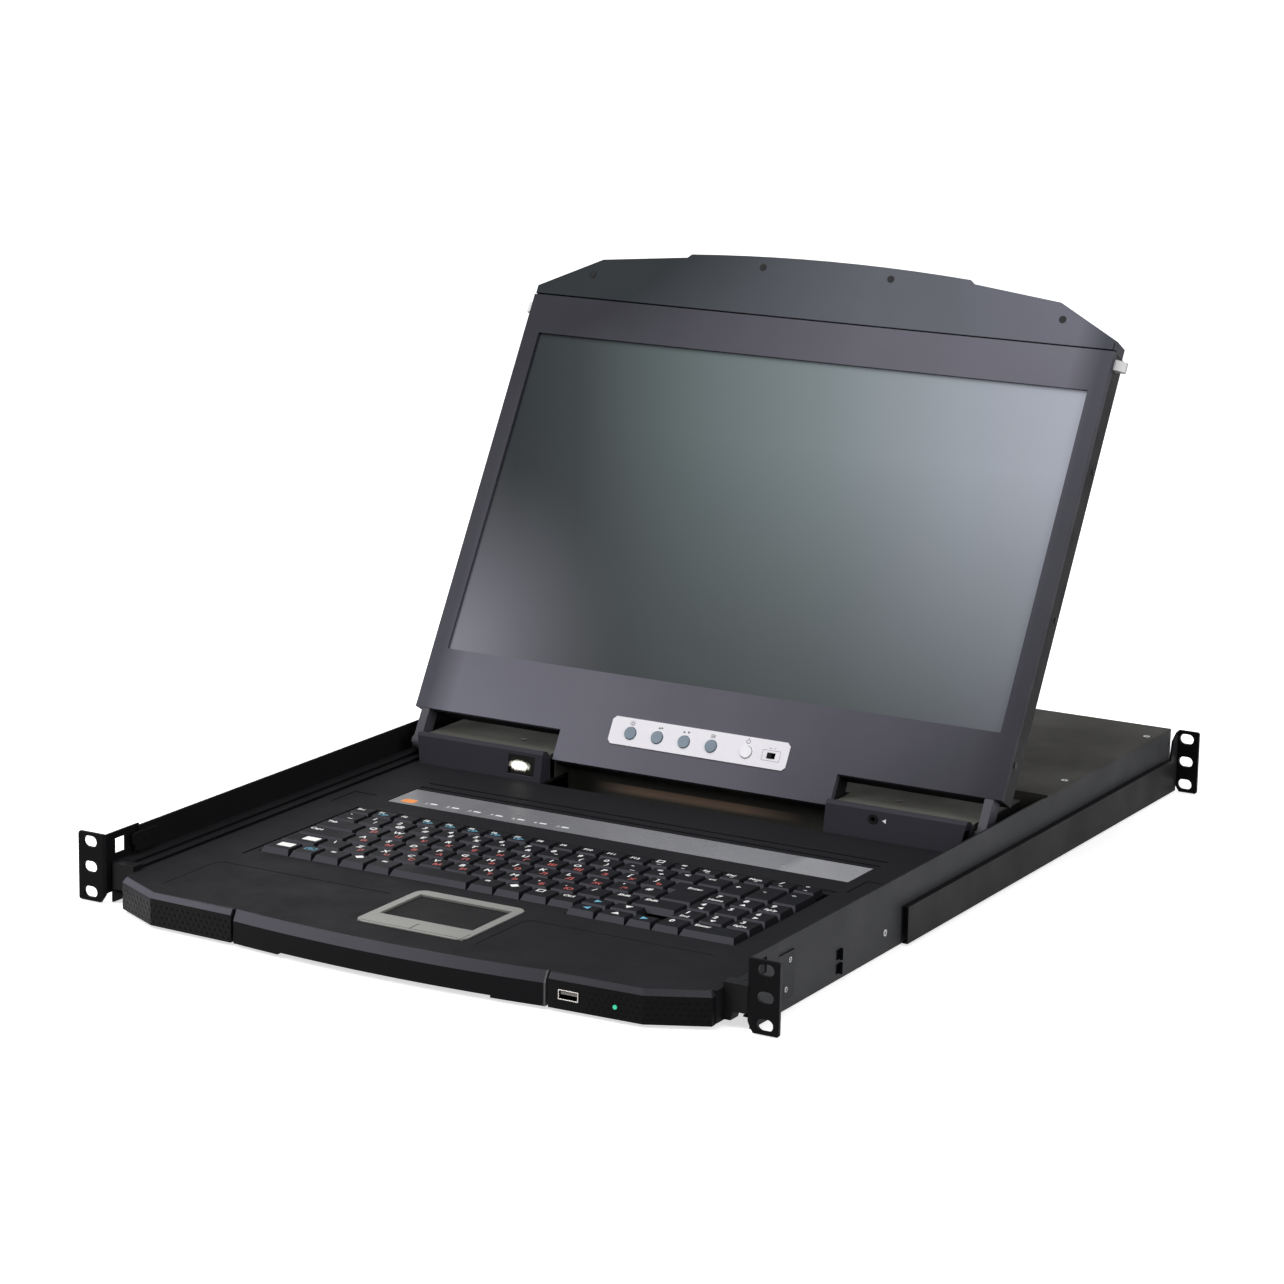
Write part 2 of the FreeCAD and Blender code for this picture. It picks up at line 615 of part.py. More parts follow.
def tray_pan():
    floor = box(-DRAWER_HALF, DRAWER_HALF, DRAWER_FRONT, DRAWER_BACK, TRAY_BOTTOM, TRAY_FLOOR)
    roof = TAIL_TOP - DRAWER_SHEET
    profile = [(DRAWER_FRONT, TRAY_BOTTOM), (DRAWER_BACK, TRAY_BOTTOM), (DRAWER_BACK, roof),
               (DECK_BACK, roof), (DECK_BACK, TRAY_TOP), (DRAWER_FRONT, TRAY_TOP)]
    wall = side_prism(profile, DRAWER_HALF - DRAWER_SHEET, DRAWER_HALF)
    back = box(-DRAWER_HALF, DRAWER_HALF, DRAWER_BACK - DRAWER_SHEET, DRAWER_BACK, TRAY_BOTTOM, roof)
    return fused([floor] + pair(wall) + [back])


def bowed_face(half, y_side, bow, y_back, z):
    a, b = V(-half, y_side, z), V(half, y_side, z)
    c, d = V(half, y_back, z), V(-half, y_back, z)
    front = Part.Arc(a, V(0, y_side - bow, z), b).toShape()
    sides = [Part.LineSegment(p, q).toShape() for p, q in ((b, c), (c, d), (d, a))]
    return Part.Wire([front] + sides)


def grip_outline(inset):
    x0 = BAR_HALF + GRIP_GROOVE
    x1 = DRAWER_HALF - GRIP_SIDE_GAP - inset
    return [(x0, BAR_FRONT + inset), (GRIP_CORNER_X - inset * 0.4, GRIP_CORNER_Y + inset),
            (x1, GRIP_TIP_Y + inset), (x1, DRAWER_FRONT), (x0, DRAWER_FRONT)]


def deck_front(z0, z1):
    rim = GRIP_CHAMFER_Y + DECK_RIM
    centre = bowed_face(BAR_HALF, BAR_FRONT + BAR_CHAMFER_Y + DECK_RIM, BAR_BOW, DRAWER_FRONT + 2, z0)
    centre = Part.Face(centre).extrude(V(0, 0, z1 - z0))
    x1 = DRAWER_HALF - GRIP_SIDE_GAP - rim
    side = [(BAR_HALF, BAR_FRONT + BAR_CHAMFER_Y + DECK_RIM), (GRIP_CORNER_X - 1, GRIP_CORNER_Y + rim),
            (x1, GRIP_TIP_Y + rim - 1), (x1, DRAWER_FRONT + 2), (BAR_HALF, DRAWER_FRONT + 2)]
    return fused([centre] + pair(prism(side, z0, z1)))


def handle_core():
    return box(-CORE_HALF, CORE_HALF, CORE_FRONT, DRAWER_FRONT, HANDLE_BOTTOM + 3, -4.0)


def usb_shell_box(y0, y1):
    return box(FRONT_USB_X - USB_WIDTH / 2, FRONT_USB_X + USB_WIDTH / 2, y0, y1,
               FRONT_USB_Z - USB_HEIGHT / 2, FRONT_USB_Z + USB_HEIGHT / 2)


def led_body(radius, y0):
    return cylinder(radius, (LED_X, y0, LED_Z), (0, 1, 0), -16.0 - y0)


def handle_bar():
    low = Part.Face(bowed_face(BAR_HALF, BAR_FRONT, BAR_BOW, DRAWER_FRONT, HANDLE_BOTTOM))
    body = low.extrude(V(0, 0, -BAR_CHAMFER_Z - HANDLE_BOTTOM))
    edge = bowed_face(BAR_HALF, BAR_FRONT, BAR_BOW, DRAWER_FRONT, -BAR_CHAMFER_Z)
    crown = bowed_face(BAR_HALF, BAR_FRONT + BAR_CHAMFER_Y, BAR_BOW, DRAWER_FRONT, 0.0)
    top = Part.makeLoft([edge, crown], True, True)
    relief = box(-BAR_RELIEF_HALF, BAR_RELIEF_HALF, -50, DRAWER_FRONT + 1,
                 HANDLE_BOTTOM - 1, HANDLE_BOTTOM + BAR_RELIEF)
    bar = fused([body, top, handle_core()])
    bar = bar.cut(deck_front(-DECK_SHEET, 1.0)).cut(relief)
    return bar.cut(usb_shell_box(-40, -14)).cut(led_body(LED_RADIUS, -40))


def grip_right():
    low = prism(grip_outline(0.0), HANDLE_BOTTOM, -GRIP_CHAMFER)
    top = frustum(grip_outline(0.0), grip_outline(GRIP_CHAMFER_Y), -GRIP_CHAMFER, 0.0)
    return fused([low, top]).cut(deck_front(-DECK_SHEET, 1.0)).cut(handle_core())


def usb_port():
    shell = usb_shell_box(BAR_FRONT, -14)
    mouth = box(FRONT_USB_X - USB_WIDTH / 2 + 0.5, FRONT_USB_X + USB_WIDTH / 2 - 0.5, BAR_FRONT - 1, -16,
                FRONT_USB_Z - USB_HEIGHT / 2 + 0.5, FRONT_USB_Z + USB_HEIGHT / 2 - 0.5)
    return shell.cut(mouth)


def keyboard_deck():
    main = box(-DRAWER_HALF, DRAWER_HALF, DRAWER_FRONT, DECK_BACK, -DECK_SHEET, 0.0)
    tray = box(STRIP_LEFT - 4, STRIP_RIGHT + 4, STRIP_FRONT - 4, STRIP_BACK + 4,
               -DECK_SHEET - STRIP_TRAY, -DECK_SHEET)
    deck = fused([main, deck_front(-DECK_SHEET, 0.0), tray])
    trough = COVER_INNER - 0.5
    pad_x = PAD_FRAME_HALF - PAD_TUB_WALL + FIT_GAP
    pad_y = PAD_TUB_WALL - FIT_GAP
    cutters = [box(WELL_LEFT, WELL_RIGHT, WELL_FRONT, WELL_BACK, -5, 1),
               box(-trough, trough, TROUGH_FRONT, DECK_BACK + 1, -5, 1),
               box(-pad_x, pad_x, PAD_FRAME_FRONT + pad_y, PAD_FRAME_BACK - pad_y, -5, 1),
               box(STRIP_LEFT - FIT_GAP, STRIP_RIGHT + FIT_GAP, STRIP_FRONT - FIT_GAP, STRIP_BACK + FIT_GAP,
                   -STRIP_SHEET - STRIP_SINK, 1)]
    for y, depth in ((STRIP_BACK + 3.6, 3.4), (STRIP_BACK + 14.8, 2.6)):
        cutters.append(box(STRIP_LEFT, STRIP_RIGHT + 2, y, y + depth, -0.8, 1))
    pocket = cut_corner_box(DRAWER_HALF - 25.5, DRAWER_HALF - 7.5,
                            WELL_BACK + 1.2, WELL_BACK + 30.2, -0.5, 1, 1.2)
    palm = cut_corner_box(PAD_FRAME_HALF + 8.2, DRAWER_HALF - 28.5, -10, WELL_FRONT - 21.6, -0.25, 1, 4.0)
    cutters += pair(pocket) + pair(palm)
    return deck.cut(Part.makeCompound(cutters))


def touchpad_frame():
    rim = round_box(-PAD_FRAME_HALF, PAD_FRAME_HALF, PAD_FRAME_FRONT, PAD_FRAME_BACK,
                    0.0, PAD_FRAME_RISE, PAD_FRAME_CORNER)
    t = PAD_TUB_WALL
    tub = box(-PAD_FRAME_HALF + t, PAD_FRAME_HALF - t, PAD_FRAME_FRONT + t, PAD_FRAME_BACK - t, -3.2, 0.0)
    pad = box(-PAD_HALF, PAD_HALF, PAD_FRONT, PAD_BACK, -2.2, 2)
    keys = box(-PAD_FRAME_HALF + 2.4, PAD_FRAME_HALF - 2.4, PAD_FRAME_FRONT + 2.4,
               PAD_FRAME_FRONT + 3.0 + PAD_BUTTON_DEPTH, -2.2, 2)
    return fused([rim, tub]).cut(Part.makeCompound([pad, keys]))


def touchpad_button_right():
    return box(FIT_GAP / 2, PAD_FRAME_HALF - 2.4 - FIT_GAP, PAD_FRAME_FRONT + 2.4 + FIT_GAP,
               PAD_FRAME_FRONT + 2.4 + FIT_GAP + PAD_BUTTON_DEPTH, -1.0, PAD_FRAME_RISE + 0.2)


def touchpad_pad():
    return box(-PAD_HALF, PAD_HALF, PAD_FRONT, PAD_BACK, -2.2, -0.6)


def status_strip():
    z0 = -STRIP_SHEET - STRIP_SINK
    return box(STRIP_LEFT, STRIP_RIGHT, STRIP_FRONT, STRIP_BACK, z0, z0 + STRIP_SHEET)


def hinge_cover(x0, x1):
    t = DRAWER_SHEET
    outer = [(COVER_FRONT, 0.0), (RIDGE_Y - 1.2, RIDGE_Z - 2.0), (RIDGE_Y, RIDGE_Z - 0.3),
             (RIDGE_Y + 2.0, RIDGE_Z), (RIDGE_Y + 4.8, RIDGE_Z - 1.0), (COVER_BACK, TAIL_TOP - 0.6),
             (COVER_BACK, 0.0)]
    inner = [(COVER_FRONT + t, -1.0), (RIDGE_Y, RIDGE_Z - 2.4), (RIDGE_Y + 1.0, RIDGE_Z - 1.5),
             (RIDGE_Y + 1.8, RIDGE_Z - 1.3), (RIDGE_Y + 4.2, RIDGE_Z - 2.2),
             (COVER_BACK + 1, TAIL_TOP - 2.2), (COVER_BACK + 1, -1.0)]
    return side_prism(outer, x0, x1).cut(side_prism(inner, x0 + t, x1 - t))


def hinge_cover_right():
    cover = hinge_cover(COVER_INNER, COVER_OUTER)
    slant = front_prism([(COVER_OUTER, RIDGE_Z), (COVER_OUTER - COVER_CUT, 0.0), (COVER_OUTER + 1, -1.0),
                         (COVER_OUTER + 1, RIDGE_Z)], COVER_FRONT - 1, COVER_FRONT + 8)
    return cover.cut(slant)


def jack_round(radius, y0, y1):
    return drum(radius, (JACK_X, y0, JACK_Z), (0, 1, 0), y1 - y0, 16)


def lamp_window(y0, y1):
    return box(-LAMP_INNER - LAMP_WIDTH, -LAMP_INNER, y0, y1, LAMP_BOTTOM, LAMP_TOP)


def hinge_brackets():
    x0, x1 = BRACKET_INNER, BRACKET_INNER + BARREL_LENGTH
    barrel = cylinder(BARREL_RADIUS, (x0, HINGE_Y, HINGE_Z), (1, 0, 0), BARREL_LENGTH + 1)
    foot = box(x0, x1, HINGE_Y - 11, HINGE_Y + 12, 0.0, 2.4)
    web = box(x0, x1, HINGE_Y - 3, HINGE_Y + 3, 2.0, HINGE_Z)
    bore = cylinder(PIN_RADIUS + PIN_CLEARANCE, (x0 - 10, HINGE_Y, HINGE_Z), (1, 0, 0), BARREL_LENGTH + 20)
    return pair(fused([barrel, foot, web]).cut(bore))


def tray_rear_cover():
    t = DRAWER_SHEET
    roof = TAIL_TOP - t
    top = box(-DRAWER_HALF, DRAWER_HALF, COVER_BACK, DRAWER_BACK, roof, TAIL_TOP)
    trough = box(-COVER_INNER, COVER_INNER, COVER_BACK - 1, TROUGH_BACK, roof - 1, TAIL_TOP + 1)
    wall = box(-COVER_INNER - t, COVER_INNER + t, TROUGH_BACK, TROUGH_BACK + t, TRAY_FLOOR, TAIL_TOP)
    cheek = box(COVER_INNER, COVER_INNER + t, COVER_BACK, TROUGH_BACK + t, 0.0, TAIL_TOP)
    side = box(DRAWER_HALF - t, DRAWER_HALF, COVER_BACK, DECK_BACK, 0.0, TAIL_TOP)
    reach = PIN_RADIUS + 0.6
    pin_gap = box(-DRAWER_HALF - 1, DRAWER_HALF + 1, HINGE_Y - reach, HINGE_Y + reach, -1, HINGE_Z + reach)
    return fused([top.cut(trough), wall] + pair(cheek) + pair(side)).cut(pin_gap)


def drawer_screws():
    places = [(COVER_INNER + 35, DECK_BACK + 5), (DRAWER_HALF - 13.5, DECK_BACK + 31),
              (PLATE_HALF - 6, DECK_BACK + 40)]
    heads = []
    for x, y in places:
        heads += pair(screw((x, y, TAIL_TOP), (0, 0, 1), 2.2, 0.4))
    return heads


# ---- keyboard ----

def key_cap(x0, x1, y0, y1):
    top = (x0 + KEY_SIDE_TAPER, x1 - KEY_SIDE_TAPER, y0 + KEY_FRONT_TAPER, y1 - KEY_BACK_TAPER)
    return wedge((x0, x1, y0, y1), top, KEY_TOP - KEY_HEIGHT, KEY_TOP)


def key_run(edges, y0, y1):
    gap = KEY_GAP / 2
    return [key_cap(a + gap, b - gap, y0 + gap, y1 - gap) for a, b in zip(edges, edges[1:])]


def even_edges(x0, x1, count):
    return [x0 + (x1 - x0) * i / count for i in range(count + 1)]


def row_y(row):
    return ROW_FRONT + row * ROW_PITCH


def pad_row_y(row):
    return PAD_ROW_FRONT + row * ROW_PITCH


# Where each row's first wide key ends, and the bottom row's edges.
ARROWS_LEFT = PAD_LEFT - 58.0
SPACE_LEFT = KEYS_LEFT + 5.1 * KEY_UNIT
SPACE_RIGHT = ARROWS_LEFT - 4 * KEY_UNIT
TAB_EDGE = PAD_LEFT - 29.0 - 12 * KEY_UNIT
CAPS_EDGE = PAD_LEFT - 23.5 - 12 * KEY_UNIT
SHIFT_EDGE = PAD_LEFT - 32.0 - 12 * KEY_UNIT


def letter_edges(first, count=12):
    return even_edges(first, first + count * KEY_UNIT, count)


def pad_keys(row, edges):
    return key_run(edges, pad_row_y(row), pad_row_y(row + 1))


def pad_columns():
    return even_edges(PAD_LEFT, KEYS_RIGHT, 3)


def keys_function():
    return key_run(even_edges(KEYS_LEFT, FUNCTION_RIGHT, 20), row_y(5), row_y(5) + FUNCTION_DEPTH)


def keys_number():
    main = key_run(even_edges(KEYS_LEFT, PAD_LEFT, 15), row_y(4), row_y(5))
    return main + key_run(pad_columns(), pad_row_y(4), row_y(5))


def keys_upper():
    main = key_run([KEYS_LEFT] + letter_edges(TAB_EDGE), row_y(3), row_y(4))
    return main + pad_keys(3, pad_columns())


def keys_home():
    main = key_run([KEYS_LEFT] + letter_edges(CAPS_EDGE), row_y(2), row_y(3))
    return main + [enter_key()] + pad_keys(2, pad_columns())


def keys_lower():
    main = key_run([KEYS_LEFT] + letter_edges(SHIFT_EDGE) + [PAD_LEFT], row_y(1), row_y(2))
    return main + pad_keys(1, pad_columns())


def keys_bottom():
    wide = [KEYS_LEFT + unit * KEY_UNIT for unit in (0, 1.15, 2.06, 3.11, 4.1)]
    left = key_run(wide + [SPACE_LEFT], row_y(0), row_y(1))
    right = key_run(even_edges(SPACE_RIGHT, ARROWS_LEFT, 4), row_y(0), row_y(1))
    middle = (PAD_ROW_FRONT + row_y(1)) / 2
    arrows = [ARROWS_LEFT, PAD_LEFT - 38.4, PAD_LEFT - 17.4]
    high = key_run(arrows, middle, row_y(1))
    low = key_run(arrows + [PAD_LEFT], PAD_ROW_FRONT, middle)
    pad = pad_keys(0, [PAD_LEFT, pad_columns()[1], KEYS_RIGHT])
    return left + right + low + high + pad


def space_bar():
    return key_run([SPACE_LEFT, SPACE_RIGHT], row_y(0), row_y(1))[0]


def enter_key():
    upper = TAB_EDGE + 12 * KEY_UNIT
    lower = CAPS_EDGE + 12 * KEY_UNIT
    gap = KEY_GAP / 2
    x1 = PAD_LEFT - gap
    low = [(lower + gap, row_y(2) + gap), (x1, row_y(2) + gap), (x1, row_y(4) - gap),
           (upper + gap, row_y(4) - gap), (upper + gap, row_y(3) + gap), (lower + gap, row_y(3) + gap)]
    s, f, b = KEY_SIDE_TAPER, KEY_FRONT_TAPER, KEY_BACK_TAPER
    high = [(low[0][0] + s, low[0][1] + f), (low[1][0] - s, low[1][1] + f), (low[2][0] - s, low[2][1] - b),
            (low[3][0] + s, low[3][1] - b), (low[4][0] + s, low[4][1] + f), (low[5][0] + s, low[5][1] + f)]
    return frustum(low, high, KEY_TOP - KEY_HEIGHT, KEY_TOP)


def keyboard_base():
    floor = KEY_TOP - KEY_HEIGHT - KEY_TRAVEL - FIT_GAP
    body = box(WELL_LEFT + FIT_GAP, WELL_RIGHT - FIT_GAP, WELL_FRONT + FIT_GAP, WELL_BACK - FIT_GAP,
               floor - BASE_FLOOR, BASE_TOP)
    main = box(KEYS_LEFT - BASE_RIM, KEYS_RIGHT + BASE_RIM, ROW_FRONT - BASE_RIM,
               row_y(5) + FUNCTION_DEPTH + BASE_RIM, floor, 1)
    corner = box(ARROWS_LEFT - BASE_RIM, KEYS_RIGHT + BASE_RIM,
                 PAD_ROW_FRONT - BASE_RIM, ROW_FRONT, floor, 1)
    legs = [drum(4.0, (x, y, TRAY_FLOOR), (0, 0, 1), floor - BASE_FLOOR - TRAY_FLOOR + 0.2)
            for x in (WELL_LEFT + 23, 0, WELL_RIGHT - 23) for y in (WELL_FRONT + 15, WELL_BACK - 15)]
    return fused([body] + legs).cut(fused([main, corner]))


# ---- screen, drawn in its own axes: x right, y up the screen, z out of its face ----

def screen_outline(inset):
    x, t = LCD_HALF - inset, TONGUE_HALF - inset
    top, low, tongue = LCD_TOP - inset, LCD_BOTTOM + inset, TONGUE_BOTTOM + inset
    return [(-x, low), (-t, low), (-t, tongue), (t, tongue), (t, low), (x, low), (x, top), (-x, top)]


def arm_slots():
    slot = box(ARM_INNER - 0.2, ARM_INNER + ARM_WIDTH + 0.2, LCD_BOTTOM - 1, ARM_TOP + 0.2,
               -PIN_DEPTH - ARM_RADIUS - 0.2, -BEZEL_SHEET)
    return pair(slot)


def button_places():
    return [BUTTON_FIRST + i * BUTTON_PITCH for i in range(4)] + [POWER_X]


def control_holes(z0, z1):
    holes = [drum(BUTTON_RADIUS + FIT_GAP, (x, BUTTON_U, z0), (0, 0, 1), z1 - z0, 16)
             for x in button_places()]
    slot = box(SWITCH_X - 1.8, SWITCH_X + 1.8 + SWITCH_TRAVEL, BUTTON_U - 2.0, BUTTON_U + 2.0, z0, z1)
    return holes + [slot]


def lcd_bezel():
    front = prism(screen_outline(0.0), -BEZEL_SHEET, 0.0)
    rim = prism(screen_outline(0.0), -BEZEL_DEPTH, -BEZEL_SHEET).cut(
        prism(screen_outline(SHELL_WALL), -BEZEL_DEPTH - 1, 0.0))
    window = box(-SCREEN_WIDTH / 2, SCREEN_WIDTH / 2, 0.0, SCREEN_HEIGHT, -BEZEL_DEPTH, 1)
    cutters = [window] + control_holes(-BEZEL_DEPTH, 1) + arm_slots() + hook_slots()
    return fused([front, rim]).cut(Part.makeCompound(cutters))


def hook_slots():
    u = hook_centre()
    w = hook_depth()
    slot = box(LCD_HALF - 4, LCD_HALF + 1, u - HOOK_DEPTH / 2 - FIT_GAP, u + HOOK_DEPTH / 2 + FIT_GAP,
               -w - HOOK_HEIGHT / 2 - FIT_GAP, -w + HOOK_HEIGHT / 2 + FIT_GAP)
    return pair(slot)


def hook_centre():
    return LCD_TOP - HOOK_BELOW_TOP


def hook_depth():
    """Depth behind the screen's face that comes down just above the latch window's sill."""
    return LATCH_Z - CLOSED_FACE_Z - HOOK_LOW


def lcd_back_cover():
    shell = prism(screen_outline(0.0), -LCD_DEPTH, -BEZEL_DEPTH)
    hollow = prism(screen_outline(SHELL_WALL), -LCD_DEPTH + SHELL_WALL, 1)
    vents = [box(x, x + 36, u, u + 3, -LCD_DEPTH - 1, -LCD_DEPTH + SHELL_WALL + 1)
             for x in range(-132, 130, 48) for u in (205, 215, 225)]
    return shell.cut(Part.makeCompound([hollow] + vents + arm_slots() + hook_slots()))


def lcd_panel():
    half = SCREEN_WIDTH / 2 + 3.8
    return box(-half, half, -4.0, SCREEN_HEIGHT + 4.0, -11.0, -BEZEL_SHEET)


def handle_outline(inset):
    """Half of the handle's outline, from the screen's corner to the step in its crown."""
    foot = LCD_TOP + WING_RISE - inset * 0.3
    return [(LCD_HALF - inset, LCD_TOP), (LCD_HALF - inset, foot),
            (LCD_HALF - WING_SHOULDER_X - inset * 0.3, LCD_TOP + WING_SHOULDER - inset),
            (CROWN_HALF + CROWN_STEP, LCD_TOP + CROWN_FOOT - inset),
            (CROWN_HALF - inset * 0.3, LCD_TOP + CROWN_FOOT + CROWN_STEP - inset)]


def straight_edges(points):
    return [Part.LineSegment(a, b).toShape() for a, b in zip(points, points[1:])]


def handle_layer(inset, z0, z1):
    right = [V(x, u, z0) for x, u in handle_outline(inset)]
    left = [V(-p.x, p.y, z0) for p in reversed(right)]
    crown = Part.Arc(right[-1], V(0, right[-1].y + CROWN_BOW, z0), left[0]).toShape()
    edges = straight_edges(right) + [crown] + straight_edges(left + [right[0]])
    return Part.Face(Part.Wire(edges)).extrude(V(0, 0, z1 - z0))


def upper_handle():
    shell = handle_layer(0.0, -15.0, -HANDLE_FACE)
    face = handle_layer(HANDLE_RIM, -HANDLE_FACE, -0.2)
    groove = box(-LCD_HALF - 1, LCD_HALF + 1, LCD_TOP - 1, LCD_TOP + HANDLE_GROOVE, -3.0, 1)
    return fused([shell, face]).cut(groove)


def control_plate():
    plate = cut_corner_box(-PLATE_HALF, PLATE_HALF, PLATE_BOTTOM, PLATE_TOP, 0.0, PLATE_SHEET, PLATE_CORNER)
    return plate.cut(Part.makeCompound(control_holes(-1, 2)))


def button(x):
    top = PLATE_SHEET + BUTTON_RISE
    return drum(BUTTON_RADIUS, (x, BUTTON_U, -7.0), (0, 0, 1), top + 7.0, 16)


def mode_switch():
    return box(SWITCH_X - 1.5, SWITCH_X + 1.5, BUTTON_U - 1.7, BUTTON_U + 1.7, -3.0, PLATE_SHEET + 0.6)


def control_board():
    top = -CONTROL_BOARD_DEPTH
    board = box(-PLATE_HALF + 4, PLATE_HALF - 4, -52, -24, top - 1.6, top)
    posts = [drum(2.0, (x, u, top), (0, 0, 1), CONTROL_BOARD_DEPTH - BEZEL_SHEET)
             for x in (-58, 22) for u in (-50, -27)]
    return fused([board] + posts)


def hinge_arms():
    x0 = ARM_INNER
    eye = cylinder(ARM_RADIUS, (x0, -SCREEN_ABOVE_HINGE, -PIN_DEPTH), (1, 0, 0), ARM_WIDTH)
    low = box(x0, x0 + ARM_WIDTH, -SCREEN_ABOVE_HINGE, LCD_BOTTOM,
              -PIN_DEPTH - ARM_RADIUS, -PIN_DEPTH + ARM_RADIUS)
    leaf = box(x0, x0 + ARM_WIDTH, LCD_BOTTOM, ARM_TOP, -PIN_DEPTH - ARM_RADIUS, -BEZEL_SHEET)
    hole = cylinder(PIN_RADIUS, (x0 - 1, -SCREEN_ABOVE_HINGE, -PIN_DEPTH), (1, 0, 0), ARM_WIDTH + 2)
    return pair(fused([eye, low, leaf]).cut(hole))


def hinge_pins():
    u, w = -SCREEN_ABOVE_HINGE, -PIN_DEPTH
    x1 = ARM_INNER + ARM_WIDTH
    x0 = BRACKET_INNER - 2.0
    shaft = cylinder(PIN_RADIUS, (x0, u, w), (1, 0, 0), x1 - x0)
    head = drum(4.6, (x1, u, w), (1, 0, 0), 1.8)
    return pair(fused([shaft, head]))


def lcd_screws():
    heads = []
    for x, u in ((LCD_HALF - 41.1, LCD_TOP + 18.3), (48.0, LCD_TOP + 35.0)):
        heads += pair(screw((x, u, -0.2), (0, 0, 1), 2.5, 0.4))
    for u, w in ((-17.7, 8.0), (SCREEN_HEIGHT / 2 - 35.0, 13.6), (SCREEN_HEIGHT - 50.0, 13.6)):
        heads += pair(screw((LCD_HALF, u, -w), (1, 0, 0), 2.0, 0.5))
    return heads


def latch_hook():
    u = hook_centre()
    w = hook_depth()
    x1 = LCD_HALF + HOOK_REACH
    x0 = x1 - HOOK_LENGTH
    front, back = -w + HOOK_HEIGHT / 2, -w - HOOK_HEIGHT / 2
    profile = [(x0, back), (x1, back), (x1, front - 3.5), (LCD_HALF + 0.8, front), (x0, front)]
    return front_prism(profile, u - HOOK_DEPTH / 2, u + HOOK_DEPTH / 2)


# ---- write the parts ----

def save_chassis():
    save("chassis_pan", chassis_pan())
    save("rear_cover", rear_cover())
    save("rear_panel", rear_panel())
    save("front_ears", *front_ears())
    save("slide_outer", *slide_outer())
    save("latch_catches", *latch_catches())
    save("slide_middle", *slide_middle())
    save("main_board", main_board())
    save("power_supply", power_supply())
    save("rear_connectors", *rear_connectors())
    save("power_inlet", power_inlet())
    save("power_rocker", power_rocker())
    save("chassis_screws", *chassis_screws())
    save("rear_bracket_right", rear_bracket())
    save("rear_bracket_left", mirrored(rear_bracket()))


def save_drawer():
    save("tray_pan", tray_pan())
    save("keyboard_deck", keyboard_deck())
    save("handle_bar", handle_bar())
    save("grip_right", grip_right().cut(usb_shell_box(-40, -14)).cut(led_body(LED_RADIUS, -40)))
    save("grip_left", mirrored(grip_right()))
    save("slide_inner", *slide_inner())
    save("usb_port", usb_port())
    save("power_led", led_body(LED_RADIUS, -27.6))
    save("touchpad_frame", touchpad_frame())
    save("touchpad_pad", touchpad_pad())
    save("touchpad_button_right", touchpad_button_right())
    save("touchpad_button_left", mirrored(touchpad_button_right()))
    save("status_strip", status_strip())
    cover = hinge_cover_right()
    save("hinge_cover_right", cover.cut(jack_round(JACK_RADIUS, COVER_FRONT - 2, COVER_FRONT + 4)))
    save("hinge_cover_left", mirrored(cover).cut(lamp_window(COVER_FRONT - 2, COVER_FRONT + 6)))
    save("lamp_lens", lamp_window(COVER_FRONT + 3.0, COVER_FRONT + 7.0))
    save("upgrade_jack", upgrade_jack())
    save("tray_rear_cover", tray_rear_cover())
    save("hinge_brackets", *hinge_brackets())
    save("drawer_screws", *drawer_screws())


def upgrade_jack():
    body = jack_round(JACK_RADIUS, COVER_FRONT + 1.5, COVER_FRONT + 9.5)
    return body.cut(jack_round(1.6, COVER_FRONT, COVER_FRONT + 7.0))


def save_keyboard():
    save("keyboard_base", keyboard_base())
    rows = {"function": keys_function, "number": keys_number, "upper": keys_upper,
            "home": keys_home, "lower": keys_lower, "bottom": keys_bottom}
    for name, row in rows.items():
        save("keys_" + name, *row())
    save("space_bar", space_bar())


def save_screen():
    save("lcd_bezel", on_screen(lcd_bezel()))
    save("lcd_back_cover", on_screen(lcd_back_cover()))
    save("lcd_panel", on_screen(lcd_panel()))
    save("upper_handle", on_screen(upper_handle()))
    save("control_plate", on_screen(control_plate()))
    save("control_board", on_screen(control_board()))
    for number, x in enumerate(button_places()[:4], 1):
        save("menu_button_%d" % number, on_screen(button(x)))
    save("panel_power_button", on_screen(button(POWER_X)))
    save("mode_switch", on_screen(mode_switch()))
    save("hinge_arms", *[on_screen(s) for s in hinge_arms()])
    save("hinge_pins", *[on_screen(s) for s in hinge_pins()])
    save("lcd_screws", *[on_screen(s) for s in lcd_screws()])
    save("latch_hook_right", on_screen(latch_hook()))
    save("latch_hook_left", on_screen(mirrored(latch_hook())))


os.makedirs("parts", exist_ok=True)
save_chassis()
save_drawer()
save_keyboard()
save_screen()
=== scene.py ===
import bmesh
import bpy
import math
from mathutils import Matrix, Vector


